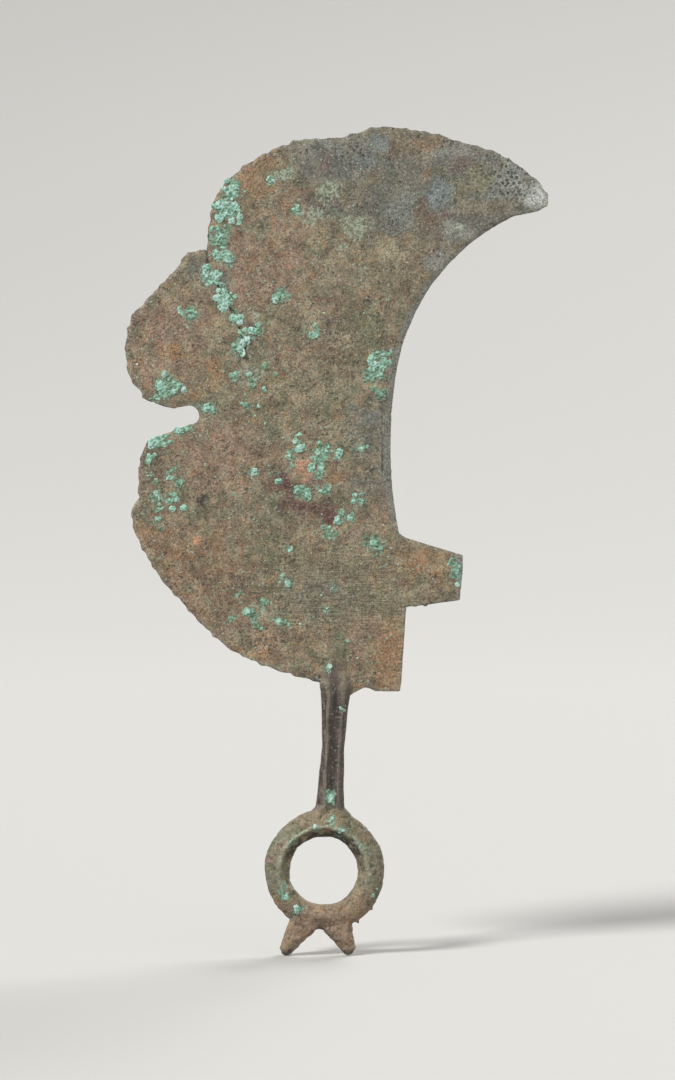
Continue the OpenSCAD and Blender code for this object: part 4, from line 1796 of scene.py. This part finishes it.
    def _scatter(self) -> list[Thing]:
        """Seat the small clusters on both faces, and the loose crumbs.

        Returns:
            The grains.
        """
        grains = [grain for cluster in SCATTER_CLUSTERS for grain in self._cluster(cluster, Side.FRONT)]
        for _ in range(self.rear_spots):
            px = self.choice.uniform(*self.rear_px)
            py = self.choice.uniform(*self.rear_py)
            half_w = self.choice.uniform(*self.rear_half)
            half_h = self.rear_squat * half_w
            box = (px - half_w, py - half_h, px + half_w, py + half_h)
            spot = Cluster(*box, self.rear_cover, self.rear_grain, self.rear_bright)
            grains += self._cluster(spot, Side.REAR)
        low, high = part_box("blade")
        for index in range(self.loose):
            x = self.choice.uniform(low.x, high.x)
            z = self.choice.uniform(low.z, high.z)
            seat = self._seat(x, z, (Side.FRONT, Side.REAR)[index % 2])
            in_bare = math.hypot(x - PHOTO.x(self.bare[0]), z - PHOTO.z(self.bare[1])) < self.bare_r
            if seat is None or in_bare:
                continue
            r = self.choice.uniform(*self.loose_mm) * MM
            crumb = self.choice.choice(self.crumbs)
            grains.append(self._grain(crumb, seat, r, self._colour(self.loose_bright)))
        return grains


# The Mix node's inputs and output for colours, which share their names with its other ones
MIX_UNDER, MIX_OVER, MIX_RESULT = 6, 7, 2


@dataclass
class Graph:
    """Short calls that lay and join the nodes of one tree."""

    tree: bpy.types.NodeTree

    def add(self, kind: str, **settings: Any) -> bpy.types.Node:
        """Lay one node and give it its settings.

        Args:
            kind: the node's type.
            settings: the node's own settings.

        Returns:
            The node.
        """
        node = self.tree.nodes.new(kind)
        for name, value in settings.items():
            setattr(node, name, value)
        return node

    def feed(self, socket: Socket, value: Any) -> None:
        """Join a socket to another one, or give it a plain value.

        Args:
            socket: the socket to feed.
            value: another socket, or a plain value.
        """
        if isinstance(value, bpy.types.NodeSocket):
            self.tree.links.new(value, socket)
        else:
            socket.default_value = value

    def lay(self, kind: str, feeds: dict[Any, Any], **settings: Any) -> bpy.types.Node:
        """Lay one node and feed several of its sockets.

        Args:
            kind: the node's type.
            feeds: a socket or a plain value for each input, by the input's name or number.
            settings: the node's own settings.

        Returns:
            The node.
        """
        node = self.add(kind, **settings)
        for name, value in feeds.items():
            self.feed(node.inputs[name], value)
        return node

    def read(self, name: str, output: str = "Fac") -> Socket:
        """Return the socket of a named attribute of the mesh; output is Color or Fac."""
        return self.add("ShaderNodeAttribute", attribute_name=name).outputs[output]

    def place(self, pull: Triple = (1, 1, 1)) -> Socket:
        """Lay the nodes that tell a pattern the place on the piece.

        Args:
            pull: how many times a pattern is drawn out along X, Y and Z.

        Returns:
            A socket with the place.
        """
        place = self.add("ShaderNodeTexCoord").outputs["Object"]
        if pull == (1, 1, 1):
            return place
        scale = tuple(1 / times for times in pull)
        return self.lay("ShaderNodeMapping", {"Vector": place, "Scale": scale}).outputs["Vector"]

    def noise(self, size: float, seed: Any, detail: float, pull: Triple = (1, 1, 1)) -> Socket:
        """Return three-dimensional noise on the piece.

        Args:
            size: the noise's lumps in metres.
            seed: a number, or a socket, that picks the pattern.
            detail: how many finer layers it has.
            pull: how many times it is drawn out along X, Y and Z, which makes streaks.

        Returns:
            A socket with values from 0 to 1.
        """
        feeds = {"Vector": self.place(pull), "W": seed, "Scale": 1 / size, "Detail": detail}
        return self.lay("ShaderNodeTexNoise", feeds, noise_dimensions="4D").outputs["Fac"]

    def cells(self, size: float) -> Socket:
        """Return the distance from the nearest of many scattered points.

        Args:
            size: the mean distance between the points in metres.

        Returns:
            A socket with values from 0 at a point to about 1.
        """
        feeds = {"Vector": self.place(), "Scale": 1 / size}
        return self.lay("ShaderNodeTexVoronoi", feeds, feature="F1").outputs["Distance"]

    def step(
        self, value: Socket, low: float, high: float, bottom: float = 0.0, top: float = 1.0
    ) -> Socket:
        """Return a smooth step of a value, from bottom at low to top at high."""
        feeds = {"Value": value, "From Min": low, "From Max": high, "To Min": bottom, "To Max": top}
        return self.lay("ShaderNodeMapRange", feeds, interpolation_type="SMOOTHSTEP").outputs["Result"]

    def calc(self, operation: str, first: Any, second: Any) -> Socket:
        """Return the result of a sum on two values."""
        return self.lay("ShaderNodeMath", {0: first, 1: second}, operation=operation).outputs[0]

    def plus(self, first: Any, second: Any) -> Socket:
        """Return the sum of two values."""
        return self.calc("ADD", first, second)

    def minus(self, first: Any, second: Any) -> Socket:
        """Return the first value less the second."""
        return self.calc("SUBTRACT", first, second)

    def times(self, first: Any, second: Any) -> Socket:
        """Return the product of two values."""
        return self.calc("MULTIPLY", first, second)

    def mix(self, amount: Any, first: Any, second: Any, blend: Blend = Blend.COVER) -> Socket:
        """Return a mix of two colours.

        Args:
            amount: how much of the second colour, from 0 to 1.
            first: the first colour.
            second: the second colour.
            blend: how the second lies on the first.

        Returns:
            The mixed colour's socket.
        """
        feeds = {"Factor": amount, MIX_UNDER: first, MIX_OVER: second}
        node = self.lay("ShaderNodeMix", feeds, data_type="RGBA", blend_type=blend.value)
        return node.outputs[MIX_RESULT]


@dataclass(frozen=True)
class Effect:
    """A node group that several finishes share."""

    name: str
    inputs: dict[str, float | Colour]
    outputs: dict[str, str]
    lay: Callable[[Graph, dict[str, Socket]], dict[str, Socket]]

    def place(self, graph: Graph, **values: Any) -> dict[str, Socket]:
        """Put the group in a tree and feed it.

        Args:
            graph: the tree that gets the group.
            values: a socket or a plain value for each input.

        Returns:
            The group's outputs by name.
        """
        node = graph.lay("ShaderNodeGroup", values, node_tree=self._group())
        return {name: node.outputs[name] for name in self.outputs}

    def _group(self) -> bpy.types.NodeTree:
        """Find the group, or lay it the first time.

        Returns:
            The group's tree.
        """
        tree = bpy.data.node_groups.get(self.name)
        if tree is not None:
            return tree
        tree = bpy.data.node_groups.new(self.name, "ShaderNodeTree")
        for name, value in self.inputs.items():
            kind = COLOUR if isinstance(value, tuple) else NUMBER
            socket = tree.interface.new_socket(name=name, in_out="INPUT", socket_type=kind)
            socket.default_value = value
        for name, kind in self.outputs.items():
            tree.interface.new_socket(name=name, in_out="OUTPUT", socket_type=kind)
        graph = Graph(tree)
        entry = graph.add("NodeGroupInput")
        results = self.lay(graph, {name: entry.outputs[name] for name in self.inputs})
        graph.lay("NodeGroupOutput", results)
        return tree


NUMBER = "NodeSocketFloat"
COLOUR = "NodeSocketColor"
MID_GREY: Colour = (0.5, 0.5, 0.5, 1)
WARM_TINT: Colour = (1.13, 0.97, 0.88, 1)
COOL_TINT: Colour = (0.88, 0.98, 0.93, 1)
SPECK_DARK: Colour = (0.04, 0.04, 0.034, 1)
CRACK_SHADE: Colour = (0.02, 0.025, 0.02, 1)
HOLLOW_SHADE: Colour = (0.04, 0.033, 0.024, 1)


def lay_speckle(graph: Graph, given: dict[str, Socket]) -> dict[str, Socket]:
    """Lay a fine mottle of warm, cool, dark and pale specks, and big dark ones where Specks is high.

    Args:
        graph: the group's tree.
        given: the group's inputs by name.

    Returns:
        A socket for each of the group's outputs, by name.
    """
    warm = graph.step(graph.noise(0.9 * MM, seed=2.9, detail=3.0), 0.48, 0.66)
    cool = graph.step(graph.noise(0.9 * MM, seed=7.4, detail=3.0), 0.48, 0.66)
    colour = graph.mix(graph.times(warm, given["Mottle"]), given["Colour"], WARM_TINT, Blend.TINT)
    colour = graph.mix(graph.times(cool, given["Mottle"]), colour, COOL_TINT, Blend.TINT)
    more = graph.step(graph.noise(3.2 * MM, seed=6.1, detail=2.0), 0.35, 0.65, bottom=-0.06, top=0.04)
    small = graph.step(graph.plus(graph.noise(0.6 * MM, seed=1.7, detail=4.0), more), 0.56, 0.7)
    big = graph.step(graph.cells(0.8 * MM), 0.29, 0.46, bottom=0.85, top=0.0)
    dark = graph.calc("MAXIMUM", graph.times(small, given["Dark"]), graph.times(big, given["Specks"]))
    pale = graph.step(graph.noise(0.5 * MM, seed=8.3, detail=4.0), 0.55, 0.7)
    dust = graph.noise(0.3 * MM, seed=4.1, detail=3.0)
    grit = graph.step(dust, 0.28, 0.72, bottom=0.2, top=0.8)
    colour = graph.mix(dark, colour, SPECK_DARK)
    colour = graph.mix(graph.times(pale, given["Pale"]), colour, Tone.WHITE.rgba)
    colour = graph.mix(given["Grit"], colour, grit, Blend.OVERLAY)
    height = graph.plus(graph.minus(graph.times(pale, 0.6), dark), dust)
    return {"Colour": colour, "Height": height}


def lay_verdigris(graph: Graph, given: dict[str, Socket]) -> dict[str, Socket]:
    """Lay broken spots of a light and a dark green where Stain is high.

    Args:
        graph: the group's tree.
        given: the group's inputs by name.

    Returns:
        A socket for each of the group's outputs, by name.
    """
    broken = graph.minus(graph.noise(0.8 * MM, seed=given["Seed"], detail=3.0), 0.5)
    fine = graph.noise(0.35 * MM, seed=2.3, detail=2.0)
    mask = graph.step(graph.plus(given["Stain"], graph.times(broken, 2.2)), 0.42, 0.8)
    green = graph.mix(graph.step(fine, 0.36, 0.6), given["Dark"], given["Light"])
    colour = graph.mix(graph.times(mask, given["Strength"]), given["Colour"], green)
    return {"Colour": colour, "Mask": mask}


def lay_wear_and_highlight(graph: Graph, given: dict[str, Socket]) -> dict[str, Socket]:
    """Lay lighter metal where the mask is high: worn metal with a painted highlight on it.

    Args:
        graph: the group's tree.
        given: the group's inputs by name.

    Returns:
        A socket for each of the group's outputs, by name.
    """
    broken = graph.minus(graph.noise(0.6 * MM, seed=3.3, detail=3.0), 0.7)
    mask = graph.step(graph.plus(given["WearAndHighlight"], broken), 0.0, 0.4)
    colour = graph.mix(graph.times(mask, given["Strength"]), given["Colour"], given["Bright"])
    return {"Colour": colour}


SPECKLE = Effect(
    "speckle",
    {"Colour": MID_GREY, "Specks": 0.0, "Mottle": 0.4, "Dark": 0.6, "Pale": 0.4, "Grit": 0.8},
    {"Colour": COLOUR, "Height": NUMBER},
    lay_speckle,
)
VERDIGRIS = Effect(
    "verdigris",
    {
        "Colour": MID_GREY,
        "Stain": 0.0,
        "Seed": 5.9,
        "Light": Crust.TEAL.rgba,
        "Dark": Crust.MOSS.rgba,
        "Strength": 0.8,
    },
    {"Colour": COLOUR, "Mask": NUMBER},
    lay_verdigris,
)
# Lighter worn metal with a painted highlight, on rims and ridges
WEAR_AND_HIGHLIGHT = Effect(
    "edge wear",
    {"Colour": MID_GREY, "WearAndHighlight": 0.0, "Bright": MID_GREY, "Strength": 0.5},
    {"Colour": COLOUR},
    lay_wear_and_highlight,
)


@dataclass(frozen=True)
class Finish:
    """What every finish shares: its name and the shader that it ends in."""

    name: str
    metallic: float
    rough: float
    relief: float = 0.1 * MM

    def build(self) -> bpy.types.Material:
        """Lay the finish as a new material.

        Returns:
            The material.
        """
        material = bpy.data.materials.new(self.name)
        material.use_nodes = True
        material.node_tree.nodes.clear()
        graph = Graph(material.node_tree)
        shader = graph.add("ShaderNodeBsdfPrincipled")
        leave = graph.add("ShaderNodeOutputMaterial")
        graph.feed(leave.inputs["Surface"], shader.outputs["BSDF"])
        shader.inputs["Metallic"].default_value = self.metallic
        colour, roughness, height = self.lay(graph)
        bump = graph.add("ShaderNodeBump")
        bump.inputs["Distance"].default_value = self.relief
        graph.feed(bump.inputs["Height"], height)
        graph.feed(shader.inputs["Base Color"], colour)
        graph.feed(shader.inputs["Roughness"], roughness)
        graph.feed(shader.inputs["Normal"], bump.outputs["Normal"])
        return material

    def lay(self, graph: Graph) -> tuple[Socket, Socket, Socket]:
        """Lay the finish's own nodes; returns its colour, roughness and height."""
        raise NotImplementedError

    def dress(self, things: Sequence[Thing]) -> None:
        """Give the finish to several pieces.

        Args:
            things: the pieces.
        """
        material = self.build()
        for thing in things:
            thing.data.materials.clear()
            thing.data.materials.append(material)


@dataclass(frozen=True)
class SheetFinish(Finish):
    """The blade's patina: tones from the sheet, specks, green stain and a lighter rim of worn metal with
    a painted highlight.
    """

    cloudy: float = 0.8
    mottle: float = 0.9
    dark: float = 0.68
    pale: float = 0.46
    wear_and_highlight: float = 0.22
    bloom: float = 0.85
    bloom_seed: float = 2.7
    bloom_floor: float = 0.16
    # strength of the painted shade along the open crack
    crack: float = 0.75
    uneven: float = 0.08
    stain_rough: float = 0.2

    def lay(self, graph: Graph) -> tuple[Socket, Socket, Socket]:
        """Lay the patina's nodes.

        Args:
            graph: the material's tree.

        Returns:
            The sockets of its colour, roughness and height.
        """
        clouds = graph.noise(2.4 * MM, seed=0.4, detail=3.0)
        clouds = graph.step(clouds, 0.3, 0.7, bottom=0.4, top=0.6)
        scratches = graph.noise(0.2 * MM, seed=5.2, detail=3.0, pull=(16, 1, 1))
        scratches = graph.step(scratches, 0.3, 0.7, bottom=0.32, top=0.68)
        tone = graph.mix(self.cloudy, graph.read("tone", "Color"), clouds, Blend.OVERLAY)
        tone = graph.mix(graph.read("brushed"), tone, scratches, Blend.OVERLAY)
        # lighter rim: worn metal with a painted highlight along the outline
        worn = WEAR_AND_HIGHLIGHT.place(
            graph,
            Colour=tone,
            WearAndHighlight=graph.read("worn"),
            Bright=Tone.PALE_GREY.rgba,
            Strength=self.wear_and_highlight,
        )
        flecks = SPECKLE.place(
            graph,
            Colour=worn["Colour"],
            Specks=graph.read("specks"),
            Mottle=graph.times(graph.read("mottled"), self.mottle),
            Dark=self.dark,
            Pale=self.pale,
        )
        bloom = VERDIGRIS.place(
            graph,
            Colour=flecks["Colour"],
            Stain=graph.minus(graph.read("flecks"), self.bloom_floor),
            Seed=self.bloom_seed,
            Light=Tone.BLOOM.rgba,
            Dark=Tone.MOSS.rgba,
            Strength=self.bloom,
        )
        green = VERDIGRIS.place(graph, Colour=bloom["Colour"], Stain=graph.read("stain"))
        # painted shade: a near-black line along the lips of the open crack
        colour = graph.mix(graph.times(graph.read("crack"), self.crack), green["Colour"], CRACK_SHADE)
        roughness = graph.step(clouds, 0.4, 0.6, self.rough - self.uneven, self.rough + self.uneven)
        roughness = graph.plus(roughness, graph.times(green["Mask"], self.stain_rough))
        return colour, roughness, flecks["Height"]


@dataclass(frozen=True)
class CastingFinish(Finish):
    """The handle's patina: buff and rough on the ring, dark and smoother on the stem."""

    cloudy: float = 0.9
    streaky: float = 0.7
    # strength of the painted shade in the dips
    hollow: float = 0.6
    mottle: float = 0.6
    dark: float = 0.35
    pale: float = 0.3
    grit: float = 0.55
    wear_and_highlight: float = 0.5
    polish: float = 0.25
    smoother: float = 0.08
    rougher: float = 0.1

    def lay(self, graph: Graph) -> tuple[Socket, Socket, Socket]:
        """Lay the patina's nodes.

        Args:
            graph: the material's tree.

        Returns:
            The sockets of its colour, roughness and height.
        """
        polish = graph.read("polish")
        clouds = graph.noise(1.6 * MM, seed=6.6, detail=3.0)
        clouds = graph.step(clouds, 0.3, 0.7, bottom=0.36, top=0.62)
        streaks = graph.noise(0.4 * MM, seed=3.9, detail=3.0, pull=(1, 1, 9))
        streaks = graph.step(streaks, 0.3, 0.7, bottom=0.2, top=0.8)
        tone = graph.mix(self.cloudy, graph.read("tone", "Color"), clouds, Blend.OVERLAY)
        tone = graph.mix(graph.times(polish, self.streaky), tone, streaks, Blend.OVERLAY)
        # painted shade: darker in the dips of the surface
        tone = graph.mix(graph.times(graph.read("hollow"), self.hollow), tone, HOLLOW_SHADE)
        # lighter ridges: worn metal with a painted highlight along them
        worn = WEAR_AND_HIGHLIGHT.place(
            graph,
            Colour=tone,
            WearAndHighlight=graph.read("worn"),
            Bright=Tone.TAN.rgba,
            Strength=self.wear_and_highlight,
        )
        flecks = SPECKLE.place(
            graph,
            Colour=worn["Colour"],
            Mottle=self.mottle,
            Dark=graph.times(graph.minus(1.0, polish), self.dark),
            Pale=self.pale,
            Grit=self.grit,
        )
        green = VERDIGRIS.place(graph, Colour=flecks["Colour"], Stain=graph.read("stain"))
        roughness = graph.step(clouds, 0.36, 0.62, self.rough - self.smoother, self.rough + self.rougher)
        roughness = graph.plus(roughness, graph.times(polish, -self.polish))
        return green["Colour"], roughness, flecks["Height"]


@dataclass(frozen=True)
class CrustFinish(Finish):
    """Matt mineral: each grain's own green, dustier on some sides."""

    dusty: float = 0.8
    uneven: float = 0.08

    def lay(self, graph: Graph) -> tuple[Socket, Socket, Socket]:
        """Lay the mineral's nodes.

        Args:
            graph: the material's tree.

        Returns:
            The sockets of its colour, roughness and height.
        """
        dust = graph.noise(0.3 * MM, seed=9.2, detail=3.0)
        shade = graph.step(dust, 0.3, 0.7, bottom=0.34, top=0.64)
        moss = graph.noise(0.7 * MM, seed=3.8, detail=2.0)
        moss = graph.step(moss, 0.5, 0.66, bottom=0.0, top=0.45)
        colour = graph.mix(self.dusty, graph.read("tone", "Color"), shade, Blend.OVERLAY)
        colour = graph.mix(moss, colour, Crust.GREEN.rgba)
        roughness = graph.step(dust, 0.3, 0.7, self.rough - self.uneven, self.rough + self.uneven)
        return colour, roughness, dust


@dataclass(frozen=True)
class Lamp:
    """A wide soft lamp far off, which lights the whole studio evenly from one side."""

    name: str
    side: Triple
    spread: float
    strength: float

    def build(self) -> None:
        """Hang the lamp on its side so that it shines at the middle."""
        light = bpy.data.lights.new(self.name, "SUN")
        light.angle = math.radians(self.spread)
        light.energy = self.strength
        lamp = bpy.data.objects.new(self.name, light)
        lamp.location = self.side
        lamp.rotation_euler = Vector(self.side).to_track_quat("Z", "Y").to_euler()
        bpy.context.scene.collection.objects.link(lamp)


@dataclass
class Studio:
    """A pale floor that sweeps up all round, soft lamps and the camera."""

    radius: float = 1.5
    height: float = 2.2
    sweep: float = 0.55
    sides: int = 96
    sweep_steps: int = 20
    level: float = 0.5
    shade: Shade = (206, 204, 200)
    bounce: Shade = (118, 117, 115)
    floor_rough: float = 0.9
    floor_gloss: float = 0.1
    sky: float = 0.45
    sky_tint: Colour = (0.94, 0.97, 1.0, 1)
    target: Triple = (0.0025, 0, 0.0595)
    camera_back: float = 0.556
    lens: float = 103.0
    sensor: float = 36.0
    sight: Span = (0.01, 20)
    lamps: tuple[Lamp, ...] = (
        Lamp("key", (-0.6, -0.5, 0.62), 16, 3.0),
        Lamp("fill", (0.7, -0.7, 0.2), 60, 1.2),
        Lamp("back", (0.5, 0.7, 0.6), 40, 2.2),
    )

    def build(self) -> None:
        """Build the floor, the lamps, the sky and the camera."""
        bowl = self._bowl()
        bowl.data.materials.append(self._pale_floor())
        bowl.visible_shadow = False
        bowl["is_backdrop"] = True
        for lamp in self.lamps:
            lamp.build()
        self._sky()
        self._camera()
        bpy.context.scene.view_settings.view_transform = "Standard"

    def _bowl(self) -> Thing:
        """Model the floor and its round sweep, which is open at the top.

        Returns:
            The bowl.
        """
        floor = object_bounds()[0].z
        bpy.ops.object.select_all(action="DESELECT")
        bpy.ops.mesh.primitive_cylinder_add(
            vertices=self.sides,
            radius=self.radius,
            depth=self.height,
            location=(0, 0, floor + 0.5 * self.height),
        )
        bowl = bpy.context.view_layer.objects.active
        bowl.name = "floor_sweep"
        bpy.ops.object.transform_apply(location=True, rotation=True, scale=True)
        Bench.pick(bowl, lambda face: face.normal.z > self.level)
        bpy.ops.mesh.delete(type="FACE")
        bpy.ops.object.mode_set(mode="OBJECT")
        Bench.pick(bowl, lambda face: face.normal.z < -self.level)
        bpy.ops.mesh.region_to_loop()
        bpy.ops.mesh.bevel(offset=self.sweep, segments=self.sweep_steps)
        bpy.ops.mesh.select_all(action="SELECT")
        bpy.ops.mesh.flip_normals()
        bpy.ops.object.mode_set(mode="OBJECT")
        Bench.smooth_shade(bowl)
        return bowl

    def _pale_floor(self) -> bpy.types.Material:
        """Lay a matt material that is seen paler than the light that it bounces.

        Returns:
            The material.
        """
        material = bpy.data.materials.new("pale floor")
        material.use_nodes = True
        graph = Graph(material.node_tree)
        shader = material.node_tree.nodes["Principled BSDF"]
        path = graph.add("ShaderNodeLightPath")
        seen = graph.calc("MAXIMUM", path.outputs["Is Camera Ray"], path.outputs["Is Glossy Ray"])
        colour = graph.mix(seen, socket_colour(self.bounce), socket_colour(self.shade))
        graph.feed(shader.inputs["Base Color"], colour)
        shader.inputs["Roughness"].default_value = self.floor_rough
        shader.inputs["Specular IOR Level"].default_value = self.floor_gloss
        return material

    def _sky(self) -> None:
        """Light the open top of the bowl with a plain sky."""
        world = bpy.data.worlds.new("plain sky")
        world.use_nodes = True
        world.node_tree.nodes["Background"].inputs["Color"].default_value = self.sky_tint
        world.node_tree.nodes["Background"].inputs["Strength"].default_value = self.sky
        bpy.context.scene.world = world

    def _camera(self) -> None:
        """Set the camera level with the middle of the razor."""
        view = bpy.data.cameras.new("camera")
        view.sensor_fit = "AUTO"
        view.sensor_width = self.sensor
        view.lens = self.lens
        view.clip_start, view.clip_end = self.sight
        camera = bpy.data.objects.new("camera", view)
        camera.location = Vector(self.target) - Vector((0, self.camera_back, 0))
        camera.rotation_euler = (math.radians(90), 0, 0)
        bpy.context.scene.collection.objects.link(camera)
        bpy.context.scene.camera = camera


def main() -> None:
    """Build the razor and its studio, and report each piece."""
    logging.basicConfig(level=logging.INFO, format="%(message)s")
    sheets = [
        BladeSheet("blade", "blade_sheet", "edge_fragment").build(),
        BladeSheet("edge_fragment", "edge_fragment_sheet", "blade").build(),
    ]
    castings = HandleCasting().build()
    grains = CrustGrains(sheets + castings).build()
    SheetFinish("blade patina", metallic=0.15, rough=0.62).dress(sheets)
    CastingFinish("handle patina", metallic=0.2, rough=0.66).dress(castings)
    CrustFinish("mineral crust", metallic=0.0, rough=0.88).dress(grains)
    for piece in sheets + castings + grains:
        LOG.info("%s: %d faces", piece.name, len(piece.data.polygons))
    Studio().build()


if __name__ == "__main__":
    main()
